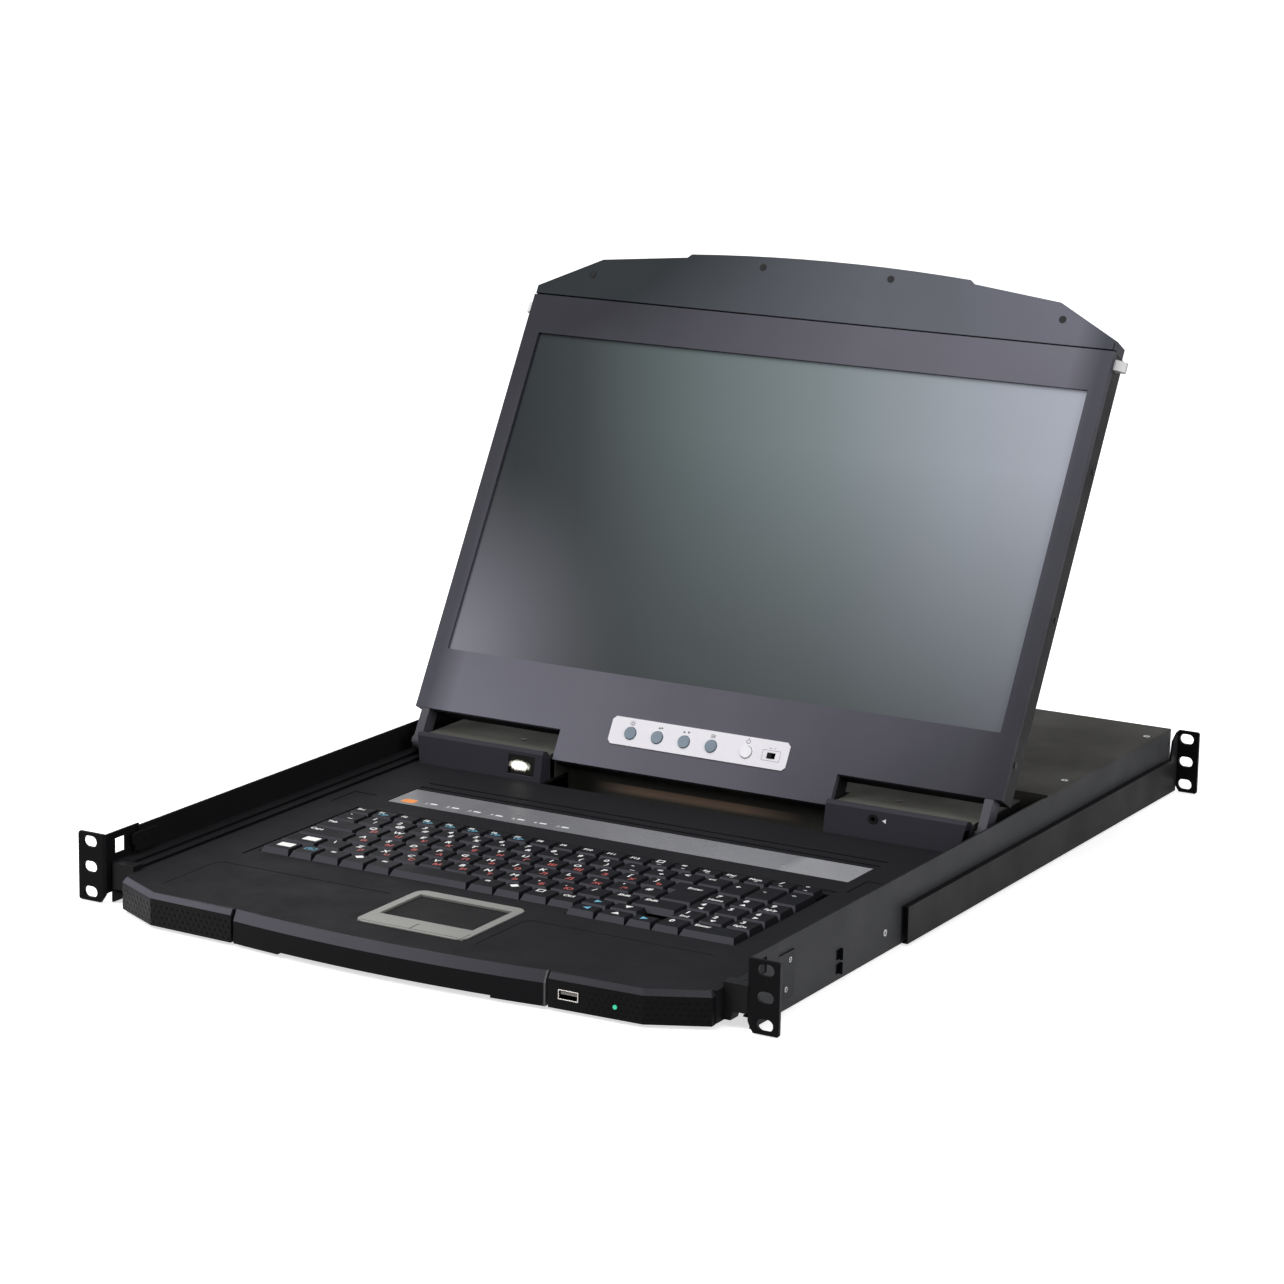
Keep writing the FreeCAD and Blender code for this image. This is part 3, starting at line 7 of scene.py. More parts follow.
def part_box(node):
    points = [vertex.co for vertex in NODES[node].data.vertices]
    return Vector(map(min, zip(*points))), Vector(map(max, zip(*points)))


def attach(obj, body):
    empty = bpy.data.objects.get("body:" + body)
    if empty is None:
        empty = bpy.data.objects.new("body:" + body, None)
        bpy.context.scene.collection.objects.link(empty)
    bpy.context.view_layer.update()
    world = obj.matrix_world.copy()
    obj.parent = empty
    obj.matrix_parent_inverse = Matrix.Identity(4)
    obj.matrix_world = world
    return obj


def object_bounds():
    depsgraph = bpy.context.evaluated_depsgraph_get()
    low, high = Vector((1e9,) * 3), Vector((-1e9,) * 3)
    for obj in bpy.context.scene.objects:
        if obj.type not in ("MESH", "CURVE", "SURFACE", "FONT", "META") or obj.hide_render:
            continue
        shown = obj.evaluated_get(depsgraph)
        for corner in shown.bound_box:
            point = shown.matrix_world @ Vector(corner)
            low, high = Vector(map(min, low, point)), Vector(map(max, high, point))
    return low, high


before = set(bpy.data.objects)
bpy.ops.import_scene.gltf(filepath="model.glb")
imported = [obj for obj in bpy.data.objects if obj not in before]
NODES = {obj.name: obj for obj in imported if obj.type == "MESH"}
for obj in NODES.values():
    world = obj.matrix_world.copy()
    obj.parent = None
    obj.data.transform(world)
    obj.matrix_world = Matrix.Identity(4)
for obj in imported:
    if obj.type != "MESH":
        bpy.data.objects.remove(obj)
cad_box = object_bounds()

# The screen's own axes at rest: right, up the screen, out of its face.
TILT = math.radians(29.46)
UP = Vector((0, math.sin(TILT), math.cos(TILT)))
OUT = Vector((0, -math.cos(TILT), math.sin(TILT)))
RIGHT = Vector((1, 0, 0))
HINGE = Vector((0, 0.3299, 0.010))
SCREEN_TURN = Matrix((RIGHT, UP, OUT)).transposed().to_4x4()

# The bar stops short of each grip by a groove this wide.
GRIP_GROOVE = 0.002
# The back face of the rear panel, and the rim of the front port.
REAR_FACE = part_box("rear_panel")[1].y
FRONT_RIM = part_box("usb_port")[0].y
# The front of the rear cover: where it meets height zero, and how far it goes back as it rises.
COVER_FOOT = 0.3135
COVER_SLOPE = 2.9 / 18.5
# The control plate, measured on the screen: the height of its middle, and its face.
PLATE_MIDDLE = 0.0336
PLATE_FACE = 0.0066
# A print lies this far above the face that carries it.
PRINT_LIFT = 0.00004


def middle(corners):
    low, high = corners
    return (low + high) / 2


# ---- materials ----

class Graph:
    """The nodes of a material or of the world, and short ways to add and join them."""

    def __init__(self, tree):
        self.nodes, self.links = tree.nodes, tree.links

    def feed(self, socket, value):
        """Joins another node's output to an input, or sets the input's own value."""
        if isinstance(value, bpy.types.NodeSocket):
            self.links.new(value, socket)
        elif socket.type == "RGBA":
            socket.default_value = (*value, 1.0)
        else:
            socket.default_value = value

    def add(self, kind, *values, operation=None, **named):
        """Adds a node. The values feed its first inputs, the named ones the inputs of that name."""
        node = self.nodes.new(kind)
        if operation:
            node.operation = operation
        for socket, value in zip(node.inputs, values):
            self.feed(socket, value)
        for name, value in named.items():
            self.feed(node.inputs[name], value)
        return node

    def calc(self, kind, *values):
        return self.add("ShaderNodeMath", *values, operation=kind).outputs[0]

    def product(self, whole, *shares):
        for share in shares:
            whole = self.calc("MULTIPLY", whole, share)
        return whole

    def vector(self, kind, *values):
        return self.add("ShaderNodeVectorMath", *values, operation=kind).outputs

    def split(self, vector):
        return self.add("ShaderNodeSeparateXYZ", vector).outputs

    def ranged(self, value, low, high, start=0.3, end=0.7):
        """Goes from low to high while the value goes from start to end."""
        return self.add("ShaderNodeMapRange", value, start, end, low, high).outputs["Result"]

    def mix(self, factor, a, b):
        """The colour a where the factor is 0, and b where it is 1."""
        node = self.add("ShaderNodeMix")
        node.data_type = "RGBA"
        self.feed(node.inputs["Factor"], factor)
        self.feed(node.inputs[6], a)
        self.feed(node.inputs[7], b)
        return node.outputs[2]

    def seen_directly(self):
        """1 for what the camera, a reflection or a clear pane shows, 0 for light on the object."""
        path = self.add("ShaderNodeLightPath").outputs
        both = self.calc("MAXIMUM", path["Is Camera Ray"], path["Is Glossy Ray"])
        return self.calc("MAXIMUM", both, path["Is Transmission Ray"])


class Paint(Graph):
    """A material. Each of the looks further down changes its colour and gives the paint back."""

    def __init__(self, name):
        self.mat = bpy.data.materials.new(name)
        self.mat.use_nodes = True
        super().__init__(self.mat.node_tree)
        self.inputs = self.nodes["Principled BSDF"].inputs
        self.coord = self.add("ShaderNodeTexCoord").outputs["Object"]

    def set(self, name, value):
        self.feed(self.inputs[name], value)

    def fed(self, name):
        """What feeds an input of the surface so far."""
        return self.inputs[name].links[0].from_socket

    def noise(self, scale, detail=3.0):
        return self.add("ShaderNodeTexNoise", Vector=self.coord, Scale=scale, Detail=detail,
                        Roughness=0.55).outputs["Fac"]

    def place(self):
        """Where the spot lies in the frame, as X, Y and Z."""
        return self.split(self.coord)

    def normal(self):
        """Which way the face at the spot looks, as X, Y and Z."""
        return self.split(self.add("ShaderNodeNewGeometry").outputs["True Normal"])

    def toned(self, factor, colour):
        """Carries the colour over to another one where the factor is high."""
        self.set("Base Color", self.mix(factor, self.fed("Base Color"), colour))
        return self

    def lit(self, tint, strength, rough):
        """Gives off light in its own colour."""
        for name, value in (("Base Color", tint), ("Emission Color", tint),
                            ("Emission Strength", strength), ("Roughness", rough)):
            self.set(name, value)
        return self

    def faced(self, front, slope, start=None, end=None, left=None):
        """Painted shade on the upright front faces, and a painted highlight on the slope between
        them and the top.
        Between start and end, along X, the highlight goes down to the share that is left."""
        place, normal = self.place(), self.normal()
        forward = self.ranged(normal["Y"], 0.0, 1.0, -0.6, -0.8)
        upright = self.ranged(normal["Z"], 1.0, 0.0, 0.2, 0.3)
        self.toned(self.product(forward, upright), front)
        highlight_band = self.product(self.ranged(normal["Z"], 0.0, 1.0, 0.25, 0.35),
                            self.ranged(normal["Z"], 1.0, 0.0, 0.9, 0.97),
                            self.ranged(normal["Y"], 0.0, 1.0, -0.25, -0.45))
        if left is not None:
            highlight_band = self.product(highlight_band, self.ranged(place["X"], 1.0, left, start, end))
        return self.toned(highlight_band, slope)

    def painted_sheen(self, dark, light):
        """Painted reflection on the screen's surround, paler at upper right and lower left, with
        painted shade at both sides.
        """
        place = self.place()
        centre_x, centre_z = 0.03, 0.16
        across = self.calc("MULTIPLY", self.calc("SUBTRACT", place["X"], centre_x), 5.0)
        up = self.calc("MULTIPLY", self.calc("SUBTRACT", place["Z"], centre_z), 7.0)
        saddle = self.product(across, up)
        self.toned(self.ranged(saddle, 0.0, 1.0, 0.05, -0.85), dark)
        self.toned(self.ranged(saddle, 0.0, 1.0, 0.1, 1.0), light)
        side = self.calc("ABSOLUTE", place["X"])
        return self.toned(self.ranged(side, 0.0, 0.7, 0.19, 0.21), dark)

    def outer_side(self, colour):
        """Painted light: the faces turned to the right, outside the chassis, are painted paler."""
        right = self.ranged(self.normal()["X"], 0.0, 1.0, 0.6, 0.8)
        outer = self.ranged(self.place()["X"], 0.0, 1.0, 0.2200, 0.2205)
        return self.toned(self.product(right, outer), colour)

    def hollow(self, start, end):
        """Painted shade inside a port: past the rim, between start and end along Y, it is painted
        dark.
        """
        inside = self.ranged(self.place()["Y"], 0.0, 1.0, start, end)
        return self.toned(inside, (0.004, 0.004, 0.004))

    def bright_end(self, colour):
        """Painted highlight on the rounded right end of the bar, at the groove before the grip."""
        place = self.place()
        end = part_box("grip_right")[0].x - GRIP_GROOVE
        near = self.ranged(place["X"], 0.0, 1.0, end - 0.0013, end - 0.0002)
        before = self.ranged(place["X"], 1.0, 0.0, end + 0.0001, end + 0.0003)
        return self.toned(self.product(near, before), colour)

    def low_gleam(self, colour):
        """A painted brown gleam, a painted highlight, low on the front of the tray's rear cover, in
        the middle of the trough under the hinge."""
        place = self.place()
        gleam = self.product(self.ranged(self.normal()["Y"], 1.0, 0.0, -0.95, -0.8),
                             self.ranged(place["X"], 0.0, 1.0, -0.085, -0.055),
                             self.ranged(place["X"], 1.0, 0.0, 0.030, 0.072),
                             self.ranged(place["Z"], 0.0, 1.0, -0.0100, -0.0070),
                             self.ranged(place["Z"], 1.0, 0.0, -0.0036, -0.0026))
        return self.toned(gleam, colour)

    def sided(self, colour, dark):
        """Painted light and shade: faces turned to the left are painted paler, and upright ones
        towards the right darker.
        """
        normal = self.normal()
        self.toned(self.ranged(normal["X"], 1.0, 0.0, -0.9, -0.35), colour)
        upright = self.ranged(normal["Z"], 1.0, 0.0, 0.1, 0.3)
        towards_right = self.ranged(self.place()["X"], 0.0, 0.9, 0.0, 0.15)
        return self.toned(self.product(upright, towards_right), dark)

    def dimpled(self):
        """Adds staggered round dimples on the upright front faces, beside the front port, with
        painted shade in their bowls.
        """
        place, face = self.place(), self.split(self.add("ShaderNodeNewGeometry").outputs["Normal"])
        pitch_x, pitch_z, down = 0.0040, 0.0034, 0.0191
        row = self.calc("DIVIDE", self.calc("ADD", place["Z"], down), pitch_z)
        stagger = self.calc("MULTIPLY", self.calc("FLOOR", row), 0.5)
        column = self.calc("ADD", self.calc("DIVIDE", place["X"], pitch_x), stagger)
        parts = [self.calc("SUBTRACT", self.calc("FRACT", count), 0.5) for count in (column, row)]
        dx, dz = (self.product(part, pitch) for part, pitch in zip(parts, (pitch_x, pitch_z)))
        away = self.calc("SQRT", self.calc("ADD", self.product(dx, dx), self.product(dz, dz)))
        outer_radius, inner_radius = 0.0013, 0.0007
        bowl = self.add("ShaderNodeMapRange", away, outer_radius, inner_radius)
        bowl.interpolation_type = "SMOOTHSTEP"
        low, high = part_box("usb_port")
        clear = self.calc("ADD", self.calc("LESS_THAN", place["X"], low.x - 0.008),
                          self.calc("GREATER_THAN", place["X"], high.x + 0.0035))
        hole = self.product(bowl.outputs["Result"],
                            self.calc("LESS_THAN", place["Z"], -0.0044),
                            self.calc("GREATER_THAN", place["Z"], -0.0182), clear,
                            self.calc("LESS_THAN", self.calc("ABSOLUTE", face["Z"]), 0.3),
                            self.calc("LESS_THAN", face["Y"], -0.3))
        dent = self.add("ShaderNodeBump", Distance=0.0006, Height=hole, Normal=self.fed("Normal"))
        dent.invert = True
        self.set("Normal", dent.outputs["Normal"])
        # Painted shade: the bowls of the dimples are painted nearly black.
        return self.toned(self.calc("MULTIPLY", hole, 0.9), (0.001, 0.001, 0.001))


def shade(colour, gain, lift=0.0):
    """A paler or deeper form of a colour, never above full white."""
    return [min(1.0, c * gain + lift) for c in colour]


def finish(name, colour, rough, metal=0.0, spec=0.5, vary=0.10, patch=9.0, grain=900.0,
           grain_depth=0.00002, rough_vary=0.08, edge=0.0003, edge_light=0.0):
    """Painted, moulded or bare surface: slow colour drift, fine grain, softened edges and, with
    edge_light, a painted highlight on those edges.
    """
    paint = Paint(name)
    slow, fine = paint.noise(patch, 4.0), paint.noise(grain, 2.0)
    drift = paint.ranged(slow, 0.0, 1.0)
    base = paint.mix(drift, shade(colour, 1 - vary), shade(colour, 1 + vary))
    base = paint.mix(paint.ranged(fine, 0.0, 0.5, 0.45, 0.8), base, shade(colour, 1.12, 0.002))
    bevel = paint.add("ShaderNodeBevel", Radius=edge)
    bevel.samples = 4
    soft = bevel.outputs["Normal"]
    if edge_light > 0:
        face = paint.add("ShaderNodeNewGeometry").outputs["Normal"]
        agree = paint.vector("DOT_PRODUCT", face, soft)["Value"]
        # Painted highlight: the edges are painted paler where the softened normal leaves the face's
        # own.
        edge_highlight = paint.ranged(agree, edge_light, 0.0, 0.72, 0.98)
        base = paint.mix(edge_highlight, base, shade(colour, 2.0, 0.06))
    bump = paint.add("ShaderNodeBump", Distance=grain_depth, Strength=1.0, Height=fine, Normal=soft)
    patches = paint.noise(patch * 3.1)
    paint.set("Base Color", base)
    paint.set("Roughness", paint.ranged(patches, rough - rough_vary, rough + rough_vary))
    paint.set("Normal", bump.outputs["Normal"])
    paint.set("Metallic", metal)
    paint.set("Specular IOR Level", spec)
    return paint


def glow(name, colour, strength):
    paint = Paint(name)
    return paint.lit(paint.mix(paint.noise(600.0), colour, shade(colour, 1.1)), strength, 0.25)


def lamp_light():
    """The lamp behind its window: bright in the middle, dark round the edge."""
    paint = Paint("lamp_light")
    core = middle(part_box("lamp_lens")) - Vector((0.002, 0, 0.0008))
    offset = paint.vector("SUBTRACT", paint.coord, core)["Vector"]
    scaled = paint.vector("MULTIPLY", offset, (0.66, 0.0, 1.45))["Vector"]
    spark = paint.noise(700.0, 4.0)
    ragged = paint.calc("MULTIPLY_ADD", spark, 0.0045, paint.vector("LENGTH", scaled)["Value"])
    bright = paint.ranged(ragged, 1.0, 0.0, 0.0046, 0.0080)
    tint = paint.mix(bright, (0.02, 0.02, 0.018), (1.0, 0.97, 0.84))
    return paint.lit(tint, paint.product(bright, paint.ranged(spark, 2.2, 4.2)), 0.2)


def screen_film():
    """The dark panel, with a painted reflection from deep grey on the left to pale at the upper
    right.
    """
    film = finish("screen_film", (0.14, 0.155, 0.165), 0.38, spec=0.05, vary=0.02, grain=2400.0,
                  grain_depth=0.000004, rough_vary=0.01, edge=0.0)
    place = film.place()
    slanted = film.calc("MULTIPLY_ADD", place["Z"], 0.35, place["X"])
    ramp = film.add("ShaderNodeValToRGB", film.ranged(slanted, 0.0, 1.0, -0.19, 0.31))
    stops = ramp.color_ramp.elements
    stops[0].color, stops[1].color = (0.050, 0.052, 0.058, 1), (0.45, 0.465, 0.54, 1)
    for along, tone in ((0.12, (0.024, 0.029, 0.032)), (0.22, (0.040, 0.048, 0.051)),
                        (0.40, (0.115, 0.145, 0.148)), (0.60, (0.205, 0.245, 0.255)),
                        (0.80, (0.34, 0.375, 0.42))):
        stops.new(along).color = (*tone, 1)
    # Painted shade low on the panel, then a painted highlight near its lower left corner.
    high = film.ranged(place["Z"], 0.22, 1.0, 0.06, 0.22)
    painted_sheen = film.mix(high, (0.045, 0.048, 0.052), ramp.outputs["Color"])
    highlight_centre = (-0.215, 0.37, 0.055)
    away = film.vector("DISTANCE", film.coord, highlight_centre)["Value"]
    near = film.calc("POWER", film.ranged(away, 1.0, 0.0, -0.02, 0.15), 1.6)
    painted_sheen = film.mix(near, painted_sheen, (0.34, 0.34, 0.40))
    drift = film.ranged(film.noise(6.0), 0.94, 1.0)
    film.set("Base Color", film.mix(drift, (0.05, 0.05, 0.055), painted_sheen))
    return film


def strip_film():
    """The printed strip: mottled, and paler towards the right end."""
    film = finish("strip_film", (0.185, 0.185, 0.198), 0.3, spec=0.2, patch=14.0, grain=2000.0,
                  grain_depth=0.000004)
    place = film.place()
    film.toned(film.ranged(place["X"], 0.0, 0.75, -0.06, 0.12), (0.235, 0.24, 0.258))
    return film.toned(film.ranged(place["X"], 0.0, 0.55, 0.118, 0.126), (0.42, 0.42, 0.44))


def steel(name, colour, rough, spec):
    return finish(name, colour, rough, spec=spec, grain=1100.0, grain_depth=0.000015,
                  edge_light=0.12)


def port_metal(name):
    return finish(name, (0.60, 0.57, 0.54), 0.28, metal=0.6, vary=0.08, edge_light=0.2)


# The looks chained after each finish below paint highlights and shade into the colour.
PAINTS = {
    "steel": steel("black_steel", (0.014, 0.014, 0.016), 0.5, 0.05),
    "pan": steel("chassis_steel", (0.010, 0.010, 0.011), 0.5, 0.05)
    .outer_side((0.062, 0.063, 0.068)),
    "bracket": steel("bracket_steel", (0.007, 0.007, 0.008), 0.5, 0.04)
    .outer_side((0.027, 0.027, 0.029)),
    "ear": steel("ear_steel", (0.007, 0.007, 0.008), 0.5, 0.04)
    .outer_side((0.056, 0.057, 0.061)),
    "cover": steel("cover_steel", (0.075, 0.073, 0.067), 0.6, 0.04),
    "tail": steel("tail_steel", (0.084, 0.083, 0.074), 0.6, 0.04)
    .low_gleam((0.40, 0.28, 0.21)),
    "slide": finish("slide_steel", (0.008, 0.008, 0.009), 0.45, spec=0.10, edge_light=0.06),
    "deck": finish("deck_plastic", (0.0125, 0.0125, 0.0140), 0.6, spec=0.04, grain=1500.0,
                   grain_depth=0.00004, edge_light=0.08),
    "handle": finish("handle_plastic", (0.024, 0.024, 0.028), 0.42, spec=0.06, grain=1500.0,
                     edge_light=0.15)
    .faced((0.005, 0.005, 0.006), (0.100, 0.098, 0.118), -0.1, 0.11, 0.35)
    .bright_end((0.20, 0.19, 0.20)),
    "bezel": finish("bezel_plastic", (0.118, 0.115, 0.140), 0.5, spec=0.05, grain=1300.0,
                    edge_light=0.12)
    .painted_sheen((0.036, 0.036, 0.045), (0.185, 0.185, 0.225)),
    "covers": finish("hinge_plastic", (0.034, 0.033, 0.042), 0.5, spec=0.08, grain=1300.0,
                     edge_light=0.3),
    "top": finish("top_plastic", (0.105, 0.112, 0.130), 0.5, spec=0.05, grain=1300.0,
                  edge_light=0.15)
    .painted_sheen((0.028, 0.033, 0.037), (0.17, 0.17, 0.212)),
    "arm": finish("arm_plastic", (0.078, 0.076, 0.090), 0.45, spec=0.12, edge_light=0.2),
    "screen": screen_film(),
    "silver": finish("silver_plastic", (0.27, 0.27, 0.255), 0.42, metal=0.1, spec=0.3,
                     grain=2000.0, edge_light=0.3),
    "pad": finish("pad_plastic", (0.012, 0.012, 0.013), 0.6, spec=0.06, grain=2500.0),
    "strip": strip_film(),
    "key": finish("key_plastic", (0.007, 0.007, 0.009), 0.5, spec=0.06, grain=1600.0,
                  grain_depth=0.00003, edge_light=0.15)
    .faced((0.010, 0.010, 0.012), (0.055, 0.055, 0.066)),
    "plate": finish("plate_film", (0.86, 0.84, 0.89), 0.42, spec=0.2, vary=0.02, grain=1500.0,
                    grain_depth=0.000005),
    "slate": finish("button_slate", (0.17, 0.225, 0.28), 0.4, spec=0.3, vary=0.15, edge=0.0006,
                    edge_light=0.35),
    "white": finish("button_white", (0.88, 0.87, 0.91), 0.4, spec=0.3, vary=0.02, edge=0.0006),
    "hook": finish("hook_white", (0.80, 0.80, 0.81), 0.45, spec=0.3, vary=0.04),
    "shell": port_metal("port_shell").hollow(REAR_FACE, REAR_FACE - 0.0003),
    "port": port_metal("front_port_shell").hollow(FRONT_RIM + 0.0002, FRONT_RIM + 0.0005),
    "tongue": finish("port_tongue", (0.40, 0.37, 0.34), 0.5, spec=0.2, patch=200.0),
    "bare": finish("bare_metal", (0.10, 0.098, 0.095), 0.38, metal=0.5, spec=0.2, vary=0.12,
                   edge_light=0.2),
    "screw": finish("screw_steel", (0.012, 0.012, 0.013), 0.4, metal=0.2, spec=0.1, vary=0.2,
                    edge_light=0.15),
    "bright": finish("screw_bright", (0.42, 0.42, 0.42), 0.3, metal=0.8, vary=0.15,
                     edge_light=0.2),
    "board": finish("board_green", (0.020, 0.10, 0.045), 0.45, vary=0.25, patch=60.0),
    "socket": finish("socket_black", (0.010, 0.010, 0.010), 0.5, spec=0.15, vary=0.15),
    "grip": finish("grip_plastic", (0.024, 0.024, 0.028), 0.46, spec=0.06, grain=1400.0)
    .faced((0.013, 0.013, 0.014), (0.110, 0.108, 0.130), -0.15, 0.15, 0.2)
    .sided((0.060, 0.060, 0.068), (0.003, 0.003, 0.003))
    .dimpled(),
    "lamp": lamp_light(),
    "led": glow("led_light", (0.02, 0.45, 0.25), 0.8),
    "ink": finish("legend_white", (0.95, 0.95, 0.95), 0.5, vary=0.03),
    "red": finish("legend_red", (0.54, 0.10, 0.09), 0.5),
    "blue": finish("legend_blue", (0.14, 0.44, 0.62), 0.5),
    "orange": finish("mark_orange", (0.95, 0.28, 0.03), 0.4, vary=0.15, patch=200.0),
    "dark": finish("mark_dark", (0.015, 0.015, 0.018), 0.5),
    "grey": finish("mark_grey", (0.42, 0.42, 0.43), 0.5),
}

DRESS = {
    "steel": "rear_panel tray_pan lcd_back_cover",
    "pan": "chassis_pan",
    "bracket": "rear_bracket_left rear_bracket_right",
    "ear": "front_ears",
    "cover": "rear_cover",
    "tail": "tray_rear_cover",
    "slide": "slide_outer slide_middle slide_inner latch_catches",
    "deck": "keyboard_deck keyboard_base",
    "handle": "handle_bar",
    "grip": "grip_left grip_right",
    "bezel": "lcd_bezel",
    "covers": "hinge_cover_left hinge_cover_right",
    "arm": "hinge_arms",
    "top": "upper_handle",
    "screen": "lcd_panel",
    "silver": "touchpad_frame touchpad_button_left touchpad_button_right",
    "pad": "touchpad_pad mode_switch",
    "strip": "status_strip",
    "key": "keys_function keys_number keys_upper keys_home keys_lower keys_bottom space_bar",
    "plate": "control_plate",
    "slate": "menu_button_1 menu_button_2 menu_button_3 menu_button_4",
    "white": "panel_power_button",
    "hook": "latch_hook_left latch_hook_right",
    "shell": "rear_connectors",
    "port": "usb_port",
    "bare": "hinge_pins hinge_brackets",
    "screw": "drawer_screws lcd_screws",
    "bright": "chassis_screws",
    "board": "main_board power_supply control_board",
    "socket": "power_inlet power_rocker upgrade_jack",
    "lamp": "lamp_lens",
    "led": "power_led",
}
for tone, names in DRESS.items():
    for name in names.split():
        for held in NODES[name].material_slots:
            held.material = PAINTS[tone].mat


# ---- drawing helpers ----

def islands(node):
    """The separate solids of one node, as their lowest and highest corners."""
    mesh = bmesh.new()
    mesh.from_mesh(NODES[node].data)
    bmesh.ops.remove_doubles(mesh, verts=mesh.verts, dist=1e-6)
    left, found = set(mesh.verts), []
    while left:
        edge = [left.pop()]
        group = list(edge)
        while edge:
            near = [e.other_vert(edge[0]) for e in edge[0].link_edges]
            fresh = [v for v in near if v in left]
            left.difference_update(fresh)
            group += fresh
            edge = edge[1:] + fresh
        low = Vector([min(v.co[i] for v in group) for i in range(3)])
        high = Vector([max(v.co[i] for v in group) for i in range(3)])
        found.append((low, high))
    mesh.free()
    return found


def shown(name, mesh, paint):
    """Puts a finished bmesh into the scene as an object in one paint."""
    data = bpy.data.meshes.new(name)
    mesh.to_mesh(data)
    mesh.free()
    data.materials.append(paint.mat)
    thing = bpy.data.objects.new(name, data)
    bpy.context.scene.collection.objects.link(thing)
    return thing


class Ink:
    """Collects flat marks of one material on one body into one mesh."""

    def __init__(self, name, body, tone, slot):
        self.mesh, self.name, self.body = bmesh.new(), name, body
        self.tone, self.slot_name = tone, slot

    def polygon(self, points, place):
        self.mesh.faces.new([self.mesh.verts.new(place @ Vector((x, y, 0))) for x, y in points])

    def bar(self, x, y, width, height, place, turn=0.0):
        c, s = math.cos(turn), math.sin(turn)
        corners = [(a * width / 2, b * height / 2) for a, b in ((-1, -1), (1, -1), (1, 1), (-1, 1))]
        self.polygon([(x + a * c - b * s, y + a * s + b * c) for a, b in corners], place)

    def ring(self, x, y, inner, outer, place, steps, start=0.0, end=360.0):
        """A ring, or the part of one between two angles, in straight steps."""
        for i in range(steps):
            a0, a1 = (math.radians(start + (end - start) * k / steps) for k in (i, i + 1))
            self.polygon([(x + r * math.cos(a), y + r * math.sin(a))
                          for r, a in ((inner, a0), (outer, a0), (outer, a1), (inner, a1))], place)

    def frame(self, x, y, width, height, line, place):
        self.bar(x, y - height / 2, width + line, line, place)
        self.bar(x, y + height / 2, width + line, line, place)
        self.bar(x - width / 2, y, line, height - line, place)
        self.bar(x + width / 2, y, line, height - line, place)

    def text(self, words, lettering, place):
        size, bold, stretch = lettering
        curve = bpy.data.curves.new("text", "FONT")
        curve.body, curve.size = words, size
        curve.align_x, curve.align_y = "CENTER", "CENTER"
        curve.resolution_u, curve.offset = 2, bold
        holder = bpy.data.objects.new("text", curve)
        flat = bpy.data.meshes.new_from_object(holder)
        flat.transform(place @ Matrix.Diagonal((stretch, 1, 1, 1)))
        self.mesh.from_mesh(flat)
        bpy.data.objects.remove(holder)
        bpy.data.curves.remove(curve)
        bpy.data.meshes.remove(flat)

    def done(self):
        piece = shown(self.name, self.mesh, PAINTS[self.tone])
        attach(piece, self.body)


def flat_place(x, y, z):
    return Matrix.Translation((x, y, z))


def screen_place(x, u, w):
    """A place on the screen's face: u up from the hinge, w out of the face."""
    return Matrix.Translation(HINGE + RIGHT * x + UP * u + OUT * w) @ SCREEN_TURN


def front_place(x, y, z, lean):
    """A place on an upright front face that leans back."""
    return Matrix.Translation((x, y, z)) @ Matrix.Rotation(math.radians(90) - lean, 4, "X")


# ---- key legends ----

FUNCTION = ["Esc"] + ["F%d" % i for i in range(1, 13)]
FUNCTION += ["\u25a1", "=", "Ins", "Del", "Num", "/", "*"]
NUMBER = list("`1234567890-=") + ["<", "<<"]
SHIFTED = list("~!@#$%^&*()_+") + ["", ""]
UPPER = ["Tab"] + list("QWERTYUIOP[]")
UPPER_RED = ["", *"\u0419\u0426\u0423\u041a\u0415\u041d\u0413\u0428\u0429\u0417\u0425\u042a"]
HOME = ["Caps"] + list("ASDFGHJKL;'") + ["#"]
HOME_RED = ["", *"\u0424\u042b\u0412\u0410\u041f\u0420\u041e\u041b\u0414\u0416\u042d", ""]
LOWER = ["box"] + list("\\ZXCVBNM,./") + ["Shift", "Shift"]
LOWER_RED = ["", "", *"\u042f\u0427\u0421\u041c\u0418\u0422\u042c\u0411\u042e", "", "", ""]
BOTTOM = ["box", "blue", "=", "\u25c6", "=", "=", "\u25c6", "\u25a1", "Ctrl", "0", "Enter"]
ARROWS = "\u25c0\u25b6\u25b2\u25bc\u25b6"
# The rows with a number pad: first legends, second legends, and the pad's own.
PAD_ROWS = {"number": (NUMBER, SHIFTED, "+-*"), "upper": (UPPER, UPPER_RED, "789"),
            "home": (HOME, HOME_RED, "456"), "lower": (LOWER, LOWER_RED, "123")}
PAD_WORDS = {"7": "Home", "8": "\u25b2", "9": "PgUp", "4": "\u25c0", "6": "\u25b6",
             "1": "End", "2": "\u25bc", "3": "PgDn"}
PAD_WIDTH = 0.0565
# Keys deeper than TALL_KEY reach over two rows; those no deeper than FULL_KEY are the arrows.
TALL_KEY, FULL_KEY = 0.03, 0.016

# Lettering, as size, boldness and stretch.
LETTER, SECOND = (0.0062, 0.00016, 1.05), (0.0058, 0.00014, 1.05)
WORD, SMALL_WORD = (0.0047, 0.00013, 1.0), (0.0042, 0.00013, 1.0)
UNDER_WORD, FN_WORD = (0.0040, 0.00011, 1.0), (0.0040, 0.00006, 1.0)
ENTER_WORD, ARROW = (0.0046, 0.00008, 1.0), (0.0050, 0.0001, 1.1)
PORT_NUMBER = (0.0036, 0.00010, 1.0)
# A word is about this many times its letters' size wide, for each letter.
LETTER_WIDTH = 0.52

